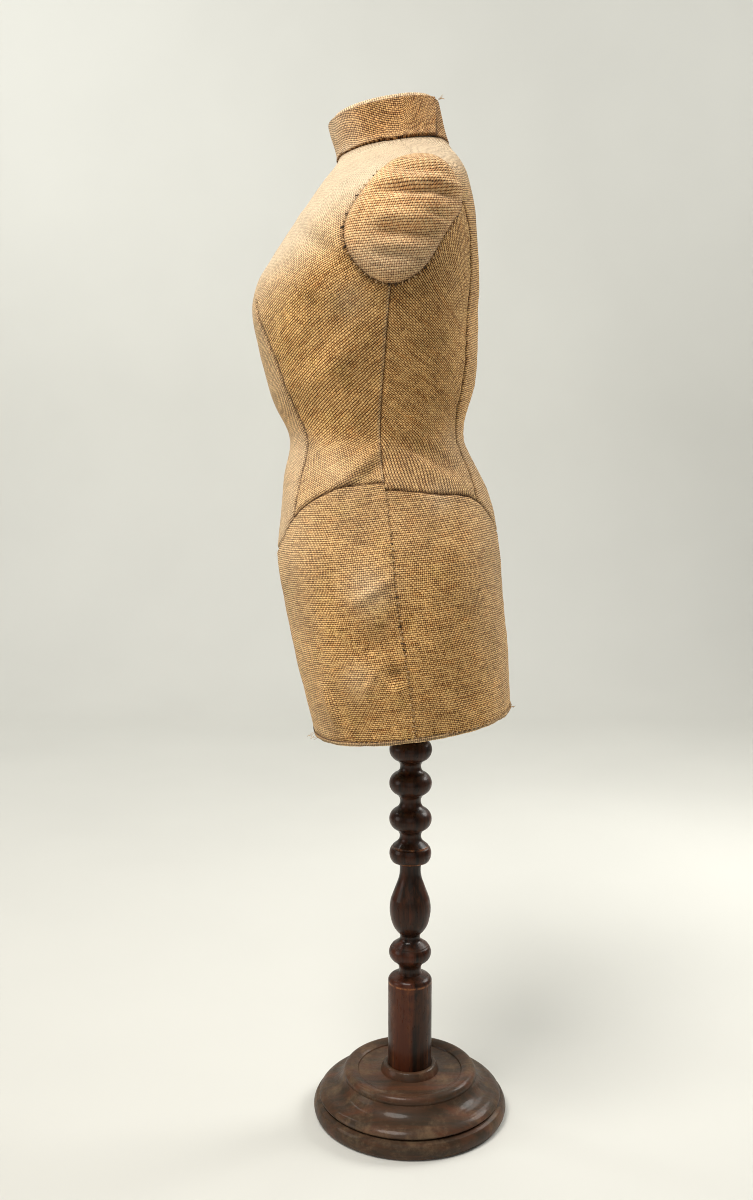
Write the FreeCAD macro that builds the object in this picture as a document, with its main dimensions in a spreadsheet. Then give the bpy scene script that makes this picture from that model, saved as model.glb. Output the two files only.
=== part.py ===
import FreeCAD, Part
import Sketcher
import math
import os
import re

# A small dress form: a cloth-covered torso that turns and lifts off on a turned wooden stand.
# +Z is up, the origin is at the centre of the base's underside, and the form's front faces -Y.
# All sizes are in millimetres.

os.makedirs("parts", exist_ok=True)
doc = FreeCAD.newDocument("dress_form")
Vector = FreeCAD.Vector

SIZES = {
    # base
    "felt_radius": 78, "felt_thickness": 1.5,
    "plinth_foot_radius": 84.2, "plinth_radius": 86, "plinth_top_radius": 80, "plinth_top_height": 15.4,
    "shadow_radius": 78, "moulding_height": 17,
    "lip_radius": 81, "cove_radius": 59, "ring_radius": 54, "ring_height": 41.5,
    "recess_radius": 46.5, "recess_height": 37.5, "collar_radius": 24.5, "collar_height": 44.8,
    "base_screw_circle": 55, "base_screw_length": 26, "base_screw_grip": 12,
    # column
    "foot_radius": 19.45, "foot_top_height": 122, "tenon_radius": 11, "socket_clearance": 0.05,
    "bead_radius": 18.7, "bead_edge_radius": 13.5, "bead_half_height": 9, "neck_radius": 9.1,
    "low_bead_height": 148, "vase_foot_height": 161.5, "vase_height": 188, "vase_radius": 18.2,
    "vase_neck_height": 224, "flange_height": 231, "bead_one_height": 269, "bead_two_height": 301,
    "bead_three_height": 331, "seat_height": 366, "seat_radius": 17.5,
    "spigot_radius": 8, "spigot_length": 60,
    "pilot_radius": 2.6, "pilot_height": 62, "screw_head_radius": 6.5, "screw_head_height": 3.5,
    "washer_radius": 12, "washer_thickness": 1.5, "counterbore_radius": 14, "counterbore_top": 8,
    # swivel and socket
    "swivel_radius": 17, "swivel_thickness": 2, "bore_radius": 8.05, "bore_relief": 4,
    "pocket_radius": 22,
    "block_width": 60, "block_height": 48,
    # layers of the form, as depths below its outer surface
    "cloth_thickness": 1.5, "shell_depth": 1.8, "shell_inner_depth": 5.8, "board_depth": 6,
    "board_gap": 2, "board_thickness": 15, "neck_block_thickness": 18, "band_proud": 1.3, "cap_proud": 2,
    # the hem, neck base and neck top are planes that lean forwards: height on the axis, and slope
    "hem_height": 363, "hem_slope": 0.137, "collar_base_height": 833.5, "collar_base_slope": 0.155,
    "neck_top_height": 867, "neck_top_slope": 0.19,
}

# Stations up the form. Each is a slice at a height on the axis, with the slope of its plane, how far
# it reaches to the front and to the back, half its width, and where its widest point lies.
STATION_SIZES = ("height", "slope", "front", "back", "half", "side")
STATIONS = {
    "under_hem": (338, 0.137, -79.5, 83.5, 94, 4),
    "hem": (363, 0.137, -83, 84, 100, 1),
    "thigh": (400, 0.125, -91.5, 82.5, 108, -4),
    "low_hip": (440, 0.11, -101, 79.5, 115, -9),
    "hip": (480, 0.09, -108.5, 75.5, 118, -15),
    "high_hip": (510, 0.07, -113, 72.5, 115, -18),
    "yoke": (535, 0.05, -110.5, 68.5, 107, -20),
    "flank": (560, 0.03, -108, 60.5, 97, -23),
    "low_waist": (580, 0.015, -105, 50.5, 88, -26),
    "waist": (600, 0, -101.5, 42, 84, -27),
    "high_waist": (620, 0, -111, 45, 87, -26.5),
    "ribs": (642, 0, -119.5, 51.5, 94, -25),
    "under_bust": (672, 0, -125.5, 53.5, 104, -23),
    "bust": (704, 0, -128, 53.5, 113, -20),
    "armpit": (728, 0.02, -123, 53.5, 119, -17),
    "chest": (752, 0.05, -111, 52.5, 122, -11),
    "high_chest": (775, 0.08, -98.5, 50, 121, -5),
    "arm_top": (792, 0.10, -87.5, 46.5, 114, 0),
    "shoulder": (804, 0.115, -79.5, 43.5, 100, 1),
    "slope_low": (813, 0.13, -74, 39.8, 83, -1),
    "slope_high": (821, 0.14, -68.5, 35.8, 66, -6),
    "neck_foot": (828, 0.15, -63, 31.5, 53, -11),
    "neck_base": (835, 0.155, -59.5, 28, 46.5, -14),
    "neck_middle": (850, 0.175, -62.8, 24, 44, -18),
    "neck_top": (867, 0.19, -67.2, 20, 43, -23),
    "over_neck": (882, 0.19, -71, 16.5, 43, -27),
}

# ---------------------------------------------------------------- the sheets of driving sizes


def make_sheet(name, values):
    sheet = doc.addObject("Spreadsheet::Sheet", name)
    for row, (alias, value) in enumerate(values.items(), start=1):
        sheet.set(f"A{row}", alias)
        sheet.set(f"B{row}", str(value))
        sheet.setAlias(f"B{row}", alias)
    return sheet


sizes = make_sheet("sizes", SIZES)
stations = make_sheet("stations", {
    f"{name}_{part}": value
    for name, row in STATIONS.items()
    for part, value in zip(STATION_SIZES, row)
})
doc.recompute()


def bound(text):
    """An expression of plain aliases, such as "seat_height - 2", as other objects must write it."""
    return re.sub(r"[a-z_]+", lambda word: "sizes." + word.group(0), text)


def size(text):
    """The value of an expression of the sizes sheet."""
    return float(sizes.evalExpression(bound(text)))


# ---------------------------------------------------------------- turned and drilled pieces


def new_body(label):
    body = doc.addObject("PartDesign::Body", label)
    body.Label = label
    return body


def new_sketch(body, role, name):
    sketch = body.newObject("Sketcher::SketchObject", name)
    plane = [item for item in body.Origin.OriginFeatures if item.Role == role][0]
    sketch.AttachmentSupport = [(plane, "")]
    sketch.MapMode = "FlatFace"
    return sketch


def pin_point(sketch, edge, end, radius, height):
    """Hold one end of an edge at a radius and a height that follow the sheet."""
    for kind, axis, text in (("DistanceX", -2, radius), ("DistanceY", -1, height)):
        value = size(text)
        if abs(value) < 1e-9:
            sketch.addConstraint(Sketcher.Constraint("PointOnObject", edge, end, axis))
            continue
        index = sketch.addConstraint(Sketcher.Constraint(kind, -1, 1, edge, end, value))
        sketch.setExpression(f"Constraints[{index}]", bound(text))


def turned(label, outline):
    """A body turned about Z from a closed list of corners (radius, height). A corner that has two
    more values is reached by an arc through that (radius, height) instead of a straight edge."""
    body = new_body(label)
    sketch = new_sketch(body, "XZ_Plane", label + "_outline")
    corners = [Vector(size(step[0]), size(step[1]), 0) for step in outline]
    ends = []
    for index, step in enumerate(outline):
        if len(step) == 4:
            middle = Vector(size(step[2]), size(step[3]), 0)
            edge = sketch.addGeometry(Part.Arc(corners[index - 1], middle, corners[index]))
        else:
            edge = sketch.addGeometry(Part.LineSegment(corners[index - 1], corners[index]))
        last = min((1, 2), key=lambda end: sketch.getPoint(edge, end).distanceToPoint(corners[index]))
        ends.append((edge, 3 - last, last))
    for index, step in enumerate(outline):
        edge, _, last = ends[index]
        following, first, _ = ends[(index + 1) % len(ends)]
        pin_point(sketch, edge, last, step[0], step[1])
        sketch.addConstraint(Sketcher.Constraint("Coincident", edge, last, following, first))
    turning = body.newObject("PartDesign::Revolution", label + "_turning")
    turning.Profile = sketch
    turning.ReferenceAxis = (sketch, ["V_Axis"])
    turning.Angle = 360
    return body


def drilled(body, name, radius, depth, start, count, circle):
    """Holes bored up from a height, evenly spaced on a circle about Z."""
    sketch = new_sketch(body, "XY_Plane", name + "_centre")
    sketch.AttachmentOffset = FreeCAD.Placement(Vector(0, 0, size(start)), FreeCAD.Rotation())
    sketch.setExpression("AttachmentOffset.Base.z", bound(start))
    edge = sketch.addGeometry(Part.Circle(Vector(size(circle), 0, 0), Vector(0, 0, 1), size(radius)))
    index = sketch.addConstraint(Sketcher.Constraint("Radius", edge, size(radius)))
    sketch.setExpression(f"Constraints[{index}]", bound(radius))
    index = sketch.addConstraint(Sketcher.Constraint("DistanceX", -1, 1, edge, 3, size(circle)))
    sketch.setExpression(f"Constraints[{index}]", bound(circle))
    sketch.addConstraint(Sketcher.Constraint("PointOnObject", edge, 3, -1))
    doc.recompute()
    before = body.Shape.Volume
    pocket = body.newObject("PartDesign::Pocket", name)
    pocket.Profile = sketch
    pocket.Reversed = True
    pocket.Length = size(depth)
    pocket.setExpression("Length", bound(depth))
    pattern = body.newObject("PartDesign::PolarPattern", name + "_pattern")
    pattern.Originals = [pocket]
    pattern.Axis = ([item for item in body.Origin.OriginFeatures if item.Role == "Z_Axis"][0], [""])
    pattern.Angle = 360
    pattern.Occurrences = count
    body.Tip = pattern
    doc.recompute()
    bored = before - body.Shape.Volume
    wanted = count * math.pi * size(radius) ** 2 * size(depth)
    if abs(bored - wanted) > 0.02 * wanted:
        raise RuntimeError(f"{body.Label}: {name} removed {bored:.1f}, not {wanted:.1f}")


def cylinder(name, radius, height, base):
    item = doc.addObject("Part::Cylinder", name)
    item.setExpression("Radius", bound(radius))
    item.setExpression("Height", bound(height))
    item.setExpression("Placement.Base.z", bound(base))
    return item


def ring(label, outer, inner, height, base):
    item = doc.addObject("Part::Cut", label)
    item.Base = cylinder(label + "_disc", outer, height, base)
    item.Tool = cylinder(label + "_hole", inner, height, base)
    return item


def base_felt():
    return cylinder("base_felt", "felt_radius", "felt_thickness", "0")


def base_plinth():
    body = turned("base_plinth", [
        ("counterbore_radius", "felt_thickness"),
        ("plinth_foot_radius", "felt_thickness"),
        ("plinth_foot_radius - 0.5", "plinth_top_height - 1.4", "plinth_radius", "plinth_top_height / 2"),
        ("plinth_top_radius", "plinth_top_height"),
        ("shadow_radius", "plinth_top_height"),
        ("shadow_radius", "moulding_height"),
        ("pilot_radius", "moulding_height"),
        ("pilot_radius", "counterbore_top"),
        ("counterbore_radius", "counterbore_top"),
    ])
    drilled(body, "base_screw_counterbores", "screw_head_radius", "screw_head_height",
            "felt_thickness", 4, "base_screw_circle")
    drilled(body, "base_screw_holes", "pilot_radius",
            "moulding_height - felt_thickness - screw_head_height",
            "felt_thickness + screw_head_height", 4, "base_screw_circle")
    return body


def base_moulding():
    body = turned("base_moulding", [
        ("tenon_radius + socket_clearance", "moulding_height"),
        ("lip_radius - 0.6", "moulding_height"),
        ("lip_radius - 0.4", "moulding_height + 2", "lip_radius", "moulding_height + 1"),
        ("lip_radius - 9", "moulding_height + 7.2", "lip_radius - 4", "moulding_height + 5.4"),
        ("cove_radius", "ring_height - 7", "cove_radius + 4.6", "moulding_height + 11.2"),
        ("ring_radius", "ring_height", "cove_radius - 0.7", "ring_height - 2.2"),
        ("recess_radius", "ring_height - 2.3", "recess_radius + 4", "ring_height - 0.6"),
        ("recess_radius - 0.6", "recess_height + 0.6"),
        ("collar_radius + 1.5", "recess_height + 0.4",
         "(recess_radius + collar_radius) / 2", "recess_height - 0.6"),
        ("collar_radius - 1.2", "collar_height - 0.8", "collar_radius + 0.3", "collar_height - 3.4"),
        ("foot_radius + socket_clearance", "collar_height - 0.4", "collar_radius - 2.6", "collar_height"),
        ("foot_radius + socket_clearance", "recess_height"),
        ("tenon_radius + socket_clearance", "recess_height"),
    ])
    drilled(body, "base_screw_pilots", "pilot_radius", "base_screw_grip",
            "moulding_height", 4, "base_screw_circle")
    return body


def column():
    def bead(height):
        """The arc up over a bead, from its lower edge to its upper edge."""
        return [("bead_edge_radius", f"{height} + bead_half_height", "bead_radius", height)]

    def cove(lower, upper):
        """The arc between two beads, up to the upper bead's lower edge."""
        middle = f"({lower} + {upper}) / 2"
        return [("bead_edge_radius", f"{upper} - bead_half_height", "neck_radius", middle)]

    return turned("column", [
        ("pilot_radius", "moulding_height"),
        ("tenon_radius", "moulding_height"),
        ("tenon_radius", "recess_height"),
        ("foot_radius", "recess_height"),
        ("foot_radius", "foot_top_height"),
        ("foot_radius - 4", "foot_top_height + 4.2", "foot_radius - 1.2", "foot_top_height + 2.4"),
        ("neck_radius + 1.4", "foot_top_height + 6"),
        ("bead_edge_radius", "low_bead_height - 8.6", "neck_radius + 0.6", "foot_top_height + 10.5"),
        ("bead_radius - 1.6", "low_bead_height + 4.6", "bead_radius", "low_bead_height - 1.4"),
        ("bead_radius - 2.8", "low_bead_height + 5.4"),
        ("bead_radius - 2.8", "low_bead_height + 6.4"),
        ("neck_radius + 1.6", "low_bead_height + 10"),
        ("neck_radius + 1.8", "vase_foot_height + 4.6", "neck_radius - 0.3", "vase_foot_height"),
        ("vase_radius - 1.1", "vase_height - 9.5", "vase_radius - 3.5", "vase_height - 16.6"),
        ("vase_radius - 1.3", "vase_height + 9.2", "vase_radius", "vase_height"),
        ("neck_radius + 1.9", "vase_neck_height - 11", "vase_radius - 4.6", "vase_height + 18"),
        ("neck_radius + 1", "flange_height - 0.6", "neck_radius + 0.1", "vase_neck_height"),
        ("bead_radius - 2.6", "flange_height"),
        ("bead_radius - 1.6", "flange_height + 12.2", "bead_radius - 0.2", "flange_height + 6.6"),
        ("bead_radius - 2.9", "flange_height + 13"),
        ("bead_radius - 2.9", "flange_height + 14"),
        ("neck_radius + 2.4", "flange_height + 17.6"),
        ("bead_edge_radius", "bead_one_height - bead_half_height",
         "neck_radius + 0.3", "flange_height + 22"),
        *bead("bead_one_height"),
        *cove("bead_one_height", "bead_two_height"),
        *bead("bead_two_height"),
        *cove("bead_two_height", "bead_three_height"),
        *bead("bead_three_height"),
        ("bead_edge_radius", "seat_height - 13", "neck_radius + 0.3", "bead_three_height + 15.5"),
        ("seat_radius", "seat_height", "bead_radius", "seat_height - 5.5"),
        ("spigot_radius", "seat_height"),
        ("spigot_radius", "seat_height + spigot_length - 2"),
        ("spigot_radius - 2", "seat_height + spigot_length"),
        ("0", "seat_height + spigot_length"),
        ("0", "pilot_height"),
        ("pilot_radius", "pilot_height"),
    ])


SLOT_WIDTH = 1.2
SLOT_DEPTH = 1
SCREW_POINT_LENGTH = 1
SCREW_POINT_RADIUS = 0.6


def screw(length):
    """A cheese-head screw that stands on its head at the origin and points up."""
    head_radius = size("screw_head_radius")
    plain = length - SCREW_POINT_LENGTH
    head = Part.makeCylinder(head_radius, size("screw_head_height"))
    slot = Part.makeBox(2 * head_radius, SLOT_WIDTH, SLOT_DEPTH, Vector(-head_radius, -SLOT_WIDTH / 2, 0))
    shank = Part.makeCylinder(size("pilot_radius"), plain)
    point = Part.makeCone(size("pilot_radius"), SCREW_POINT_RADIUS, SCREW_POINT_LENGTH, Vector(0, 0, plain))
    return head.fuse(shank).fuse(point).removeSplitter().cut(slot)


def feature(label, shape, placement=None):
    item = doc.addObject("Part::Feature", label)
    item.Label = label
    item.Shape = shape
    if placement is not None:
        item.Placement = placement
    return item


def base_screws():
    screws = []
    for quarter in range(4):
        item = screw(size("base_screw_length"))
        item.translate(Vector(size("base_screw_circle"), 0, size("felt_thickness")))
        item.rotate(Vector(0, 0, 0), Vector(0, 0, 1), 90 * quarter)
        screws.append(item)
    return feature("base_screws", Part.Compound(screws))


def column_screw():
    """Its head bears on the washer, up inside the plinth's counterbore."""
    head_base = size("counterbore_top - washer_thickness - screw_head_height")
    length = size("pilot_height") - head_base
    place = FreeCAD.Placement(Vector(0, 0, head_base), FreeCAD.Rotation())
    return feature("column_screw", screw(length), place)


def column_screw_washer():
    return ring("column_screw_washer", "washer_radius", "pilot_radius", "washer_thickness",
                "counterbore_top - washer_thickness")


def swivel_washer():
    return ring("swivel_washer", "swivel_radius", "spigot_radius + 0.6", "swivel_thickness", "seat_height")


# ---------------------------------------------------------------- the outer surface of the form

COLUMNS = 32
ROUNDNESS = 2.25
BREAST_SPACING = 54
BREAST_HEIGHT = 700
BREAST_RISE = 7
BREAST_WIDTH = 30
BREAST_TALLNESS = 48


def station(name):
    return [float(getattr(stations, f"{name}_{part}")) for part in STATION_SIZES]


def slice_point(row, angle):
    """A point of a slice, with the angle counted from +X towards +Y."""
    height, slope, front, back, half, side = row
    reach = (back if math.sin(angle) > 0 else front) - side
    across = abs(math.cos(angle)) ** (2 / ROUNDNESS)
    along = abs(math.sin(angle)) ** (2 / ROUNDNESS)
    x = math.copysign(half * across, math.cos(angle))
    y = side + reach * along
    if math.sin(angle) < 0:
        sideways = math.exp(-((abs(x) - BREAST_SPACING) / BREAST_WIDTH) ** 2)
        upright = math.exp(-((height - BREAST_HEIGHT) / BREAST_TALLNESS) ** 2)
        y -= BREAST_RISE * sideways * upright * along
    return Vector(x, y, height + slope * y)


RELAXATION_PASSES = 60


def ring_poles(points):
    """Poles of the even closed cubic spline that passes through points, found by relaxation."""
    count = len(points)
    poles = list(points)
    for _ in range(RELAXATION_PASSES):
        poles = [(points[index] * 6 - poles[index - 1] - poles[(index + 1) % count]) * 0.25
                 for index in range(count)]
    return poles[-1:] + poles[:-1]


def smooth_surface(rows):
    """A surface through a grid of points, closed round each row and open from row to row. Its
    parameter round a row is the point's number; the second value gives each row's own parameter."""
    count = len(rows[0])
    heights = [0.0]
    for lower, upper in zip(rows, rows[1:]):
        heights.append(heights[-1] + sum((a - b).Length for a, b in zip(lower, upper)) / count)
    rings = [ring_poles(points) for points in rows]
    columns = []
    for index in range(count):
        curve = Part.BSplineCurve()
        curve.interpolate(Points=[poles[index] for poles in rings], Parameters=heights)
        columns.append(curve.getPoles())
    surface = Part.BSplineSurface()
    surface.buildFromPolesMultsKnots(
        columns, [1] * (count + 1), curve.getMultiplicities(),
        [float(index) for index in range(count + 1)], curve.getKnots(), True, False, 3, 3)
    return surface, heights


def form_rows():
    angles = [2 * math.pi * index / COLUMNS for index in range(COLUMNS)]
    return [[slice_point(station(name), angle) for angle in angles] for name in STATIONS]


OUTER_ROWS = form_rows()
OUTER_SURFACE, HEIGHTS = smooth_surface(OUTER_ROWS)


def end_plane_normal(name):
    slope = station(name)[1]
    return Vector(0, -slope, 1).normalize()


def inset_rows(depth):
    """The same grid, moved into the form along the surface's normals. The first and the last row
    move within their own planes, so that flat faces can close them."""
    names = list(STATIONS)
    rows = []
    for row_index, points in enumerate(OUTER_ROWS):
        centre = sum(points, Vector(0, 0, 0)) * (1 / len(points))
        moved = []
        for index, point in enumerate(points):
            normal = OUTER_SURFACE.normal(index, HEIGHTS[row_index])
            if normal.dot(point - centre) < 0:
                normal = normal * -1
            if row_index in (0, len(OUTER_ROWS) - 1):
                plane = end_plane_normal(names[row_index])
                normal = (normal - plane * normal.dot(plane)).normalize()
            moved.append(point - normal * depth)
        rows.append(moved)
    return rows


FORM_SOLIDS = {}
SEWING_TOLERANCE = 1e-5


def form_solid(depth):
    """The whole form below a depth under its surface, as one solid that runs past hem and neck."""
    if depth not in FORM_SOLIDS:
        surface = smooth_surface(inset_rows(depth))[0]
        side = surface.toShape()
        caps = []
        for height in surface.bounds()[2:]:
            caps.append(Part.Face(Part.Wire([surface.vIso(height).toShape()])))
        FORM_SOLIDS[depth] = closed_solid([side] + caps)
    return FORM_SOLIDS[depth]


def closed_solid(faces):
    sewn = Part.makeShell(faces)
    sewn.sewShape()
    solid = Part.makeSolid(sewn)
    solid.fixTolerance(SEWING_TOLERANCE)
    if solid.Volume < 0:
        solid.reverse()
    return solid


def layer(outer, inner):
    return form_solid(outer).cut(form_solid(inner))


# ---------------------------------------------------------------- cutting shapes for the form

REACH = 300


def slab(plane, low, high):
    """The space between two distances above a leaning plane: the hem, collar_base or neck_top."""
    block = Part.makeBox(2 * REACH, 2 * REACH, high - low, Vector(-REACH, -REACH, low))
    block.rotate(Vector(0, 0, 0), Vector(1, 0, 0), math.degrees(math.atan(size(plane + "_slope"))))
    block.translate(Vector(0, 0, size(plane + "_height")))
    return block


def above(plane, distance=0):
    return slab(plane, distance, 2 * REACH)


def below(plane, distance=0):
    return slab(plane, -2 * REACH, distance)


def side_region(seam, corners):
    """The space beside a seam drawn in side view (y, z), for the whole width of the form."""
    return region([Vector(-REACH, y, z) for y, z in seam], [Vector(-REACH, y, z) for y, z in corners],
                  Vector(2 * REACH, 0, 0))


def region(seam, corners, sweep):
    curve = Part.BSplineCurve()
    curve.interpolate(Points=seam)
    outline = [curve.toShape()]
    around = [seam[-1]] + corners + [seam[0]]
    for start, end in zip(around, around[1:]):
        outline.append(Part.makeLine(start, end))
    return Part.Face(Part.Wire(outline)).extrude(sweep)


def mirrored(shape):
    return shape.mirror(Vector(0, 0, 0), Vector(1, 0, 0))


# Seams seen from the side are lists of (y, z), from the hem up or from front to back.
SIDE_SEAM = [(4, 320), (1, 363), (-4, 404), (-8.5, 436), (-14.5, 476), (-20, 536), (-25.6, 578),
             (-27, 604), (-24, 656), (-19, 712), (-10, 757), (-2, 795), (-4, 815), (-13, 833),
             (-24, 870), (-30, 900)]
FRONT_YOKE_SEAM = [(-160, 440), (-120, 496), (-110, 510.5), (-95, 536), (-82, 548), (-65.5, 557),
                   (-42.5, 563), (-20, 563.7), (20, 563)]
BACK_YOKE_SEAM = [(-40, 558), (-18, 558.4), (3.6, 557), (26.6, 554.5), (45, 552), (57, 543), (68, 527),
                  (90, 485), (120, 430)]
# Seams seen from behind or in front are lists of (x, z).
BACK_SEAM = [(66, 520), (61, 555), (55, 566), (48, 581), (44, 601), (46, 611), (54, 629), (61, 650),
             (65, 673), (69, 712), (74, 746), (81, 766), (92, 779), (101, 792), (112, 806), (125, 830)]
DART_SEAM = [(55, 706), (60, 684), (61.5, 665), (59, 630), (57, 602), (60, 582), (62.5, 562),
             (64, 540), (64, 520)]
ARM_OUTLINE = [(8, 803.5), (-19, 797.5), (-38, 779.5), (-53.5, 744), (-41, 721.5), (-19, 711.5),
               (5, 723.5), (20.5, 749), (32, 774), (25.5, 792)]
ARM_CENTRE = (-9, 757)
ARM_MEAN_RADIUS = 45
ARM_START = 60
ARM_REACH = 120
DART_SLIT = 0.5
DART_BACK = -40


def arm_prism(narrowing=0):
    """The space of the left arm's oval, seen from the side, drawn in by a distance at its edge."""
    scale = 1 - narrowing / ARM_MEAN_RADIUS
    centre_y, centre_z = ARM_CENTRE
    points = [Vector(ARM_START, centre_y + (y - centre_y) * scale, centre_z + (z - centre_z) * scale)
              for y, z in ARM_OUTLINE]
    curve = Part.BSplineCurve()
    curve.interpolate(Points=points, PeriodicFlag=True)
    return Part.Face(Part.Wire([curve.toShape()])).extrude(Vector(ARM_REACH, 0, 0))


def dart():
    """The narrow slit of the front's left dart, from the bust down to the yoke seam."""
    outer = [Vector(x + DART_SLIT / 2, -REACH, z) for x, z in DART_SEAM]
    inner = [Vector(x - DART_SLIT / 2, -REACH, z) for x, z in reversed(DART_SEAM)]
    curves = []
    for points in (outer, inner):
        curve = Part.BSplineCurve()
        curve.interpolate(Points=points)
        curves.append(curve.toShape())
    links = [Part.makeLine(outer[-1], inner[0]), Part.makeLine(inner[-1], outer[0])]
    wire = Part.Wire([curves[0], links[0], curves[1], links[1]])
    return Part.Face(wire).extrude(Vector(0, REACH + DART_BACK, 0))


BORE_BASE = 300
BORE_TOP = 500


def vertical_hole(radius, top=BORE_TOP):
    """A cylinder about Z that starts well under the hem."""
    return Part.makeCylinder(radius, top - BORE_BASE, Vector(0, 0, BORE_BASE))


FRONT = side_region(SIDE_SEAM, [(-REACH, 900), (-REACH, 320)])
UNDER_FRONT_YOKE = side_region(FRONT_YOKE_SEAM, [(20, 250), (-160, 250)])
UNDER_BACK_YOKE = side_region(BACK_YOKE_SEAM, [(120, 250), (-40, 250)])
CENTRE_BACK = region([Vector(x, -60, z) for x, z in BACK_SEAM],
                     [Vector(125, -60, 900), Vector(0, -60, 900), Vector(0, -60, 520)], Vector(0, REACH, 0))
LEFT = Part.makeBox(REACH, 2 * REACH, 1000, Vector(0, -REACH, 0))
ARM = arm_prism()
BOTH_ARMS = ARM.fuse(mirrored(ARM))

# ---------------------------------------------------------------- inside the form


def on_hem_plane(shape, x, y, distance):
    """Stand a shape on the leaning hem plane, at a place seen from above."""
    shape = shape.copy()
    shape.rotate(Vector(0, 0, 0), Vector(1, 0, 0), math.degrees(math.atan(size("hem_slope"))))
    normal = Vector(0, -size("hem_slope"), 1).normalize()
    foot = Vector(x, y, size("hem_height") + size("hem_slope") * y)
    shape.translate(foot + normal * distance)
    return shape


SOCKET_SCREW_PLACES = [(x, y) for x in (-22, 22) for y in (-22, 22)]
SOCKET_SCREW_LENGTH = 38
TACK_COUNT = 22
TACK_INSET = 11
TACK_LENGTH = 9
TACK_RADIUS = 0.8
TACK_POINT_RADIUS = 0.3
TACK_DOME_RADIUS = 9
TACK_DOME_HEIGHT = 1.2
COVER_PLAY = 0.2


def tack_places():
    _, _, front, back, half, _ = station("hem")
    middle = (front + back) / 2
    places = []
    for index in range(TACK_COUNT):
        angle = 2 * math.pi * (index + 0.5) / TACK_COUNT
        places.append(((half - TACK_INSET) * math.cos(angle),
                       middle + ((back - front) / 2 - TACK_INSET) * math.sin(angle)))
    return places


def tack():
    """A domed tack whose head's flat side lies at the origin, with its shank pointing up."""
    sphere = Part.makeSphere(TACK_DOME_RADIUS, Vector(0, 0, TACK_DOME_RADIUS - TACK_DOME_HEIGHT))
    head_space = Part.makeCylinder(TACK_DOME_RADIUS, TACK_DOME_HEIGHT, Vector(0, 0, -TACK_DOME_HEIGHT))
    shank = Part.makeCone(TACK_RADIUS, TACK_POINT_RADIUS, TACK_LENGTH)
    return sphere.common(head_space).fuse(shank)


def cover_base():
    """How far above the hem plane the bottom cover's underside lies."""
    return size("board_gap - cloth_thickness") - COVER_PLAY


def cover_tacks():
    tacks = [on_hem_plane(tack(), x, y, cover_base()) for x, y in tack_places()]
    return feature("cover_tacks", Part.Compound(tacks))


def socket_screw_holes():
    plain = Part.makeCylinder(size("screw_head_radius"), size("screw_head_height"))
    plain = plain.fuse(Part.makeCylinder(size("pilot_radius"), SOCKET_SCREW_LENGTH))
    gap = size("board_gap")
    return Part.Compound([on_hem_plane(plain, x, y, gap) for x, y in SOCKET_SCREW_PLACES])


def socket_screws():
    gap = size("board_gap")
    screws = [on_hem_plane(screw(SOCKET_SCREW_LENGTH), x, y, gap) for x, y in SOCKET_SCREW_PLACES]
    return feature("socket_screws", Part.Compound(screws))


def hip_board():
    low = size("board_gap")
    board = form_solid(size("board_depth")).common(slab("hem", low, low + size("board_thickness")))
    pocket = vertical_hole(size("pocket_radius"), size("seat_height + swivel_thickness"))
    bore = vertical_hole(size("bore_radius"))
    board = board.cut(pocket).cut(bore).cut(socket_screw_holes()).cut(cover_tacks_shape())
    return feature("hip_board", board)


def cover_tacks_shape():
    return doc.getObject("cover_tacks").Shape


def socket_block():
    block = doc.addObject("Part::Box", "socket_block_blank")
    block.setExpression("Length", bound("block_width"))
    block.setExpression("Width", bound("block_width"))
    block.setExpression("Height", bound("block_height"))
    half = size("block_width") / 2
    lean = FreeCAD.Rotation(Vector(1, 0, 0), math.degrees(math.atan(size("hem_slope"))))
    normal = lean.multVec(Vector(0, 0, 1))
    foot = Vector(0, 0, size("hem_height")) + normal * size("board_gap + board_thickness")
    block.Placement = FreeCAD.Placement(foot - lean.multVec(Vector(half, half, 0)), lean)
    bored = doc.addObject("Part::Cut", "socket_block_bored")
    bored.Base = block
    depth = "seat_height + spigot_length + bore_relief - hem_height"
    bored.Tool = cylinder("socket_bore", "bore_radius", depth, "hem_height")
    item = doc.addObject("Part::Cut", "socket_block")
    item.Base = bored
    item.Tool = feature("socket_screw_holes", socket_screw_holes())
    return item


def shell_shape():
    paper = layer(size("shell_depth"), size("shell_inner_depth"))
    return paper.common(above("hem", size("board_gap"))).common(below("neck_top", -size("cloth_thickness")))


def neck_block():
    top = -size("cloth_thickness")
    return feature("neck_block", form_solid(size("board_depth")).common(
        slab("neck_top", top - size("neck_block_thickness"), top)))


# ---------------------------------------------------------------- the cover

NECK_DOME_HEIGHT = 3.2
NECK_DOME_RADIUS = 600
# Clearances between the layers of the cover, and the two thin layers under an arm cap.
LAYER_PLAY = 0.1
ARM_PLATE_THICKNESS = 1
ARM_PLATE_RISE = 0.8
ARM_INSERT_PLAY = 0.5
CORD_HEIGHT = 2.2
COVER_HOLE_MARGIN = 1.5


def neck_cap():
    """A slightly domed disc of cloth, tucked inside the top of the neck band."""
    normal = Vector(0, -size("neck_top_slope"), 1).normalize()
    _, slope, front, back, _, _ = station("neck_top")
    middle = Vector(0, (front + back) / 2, size("neck_top_height") + slope * (front + back) / 2)
    dome = Part.makeSphere(NECK_DOME_RADIUS, middle + normal * (NECK_DOME_HEIGHT - NECK_DOME_RADIUS))
    space = slab("neck_top", -size("cloth_thickness"), 2 * NECK_DOME_HEIGHT)
    return feature("neck_cap", form_solid(size("shell_depth")).common(space).common(dome))


def neck_band():
    """The doubled strip round the neck, whose thickness stands a little proud of the shoulders."""
    strip = layer(-size("band_proud"), size("shell_depth") - LAYER_PLAY)
    return feature("neck_band", strip.common(above("collar_base")).common(below("neck_top")))


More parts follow.
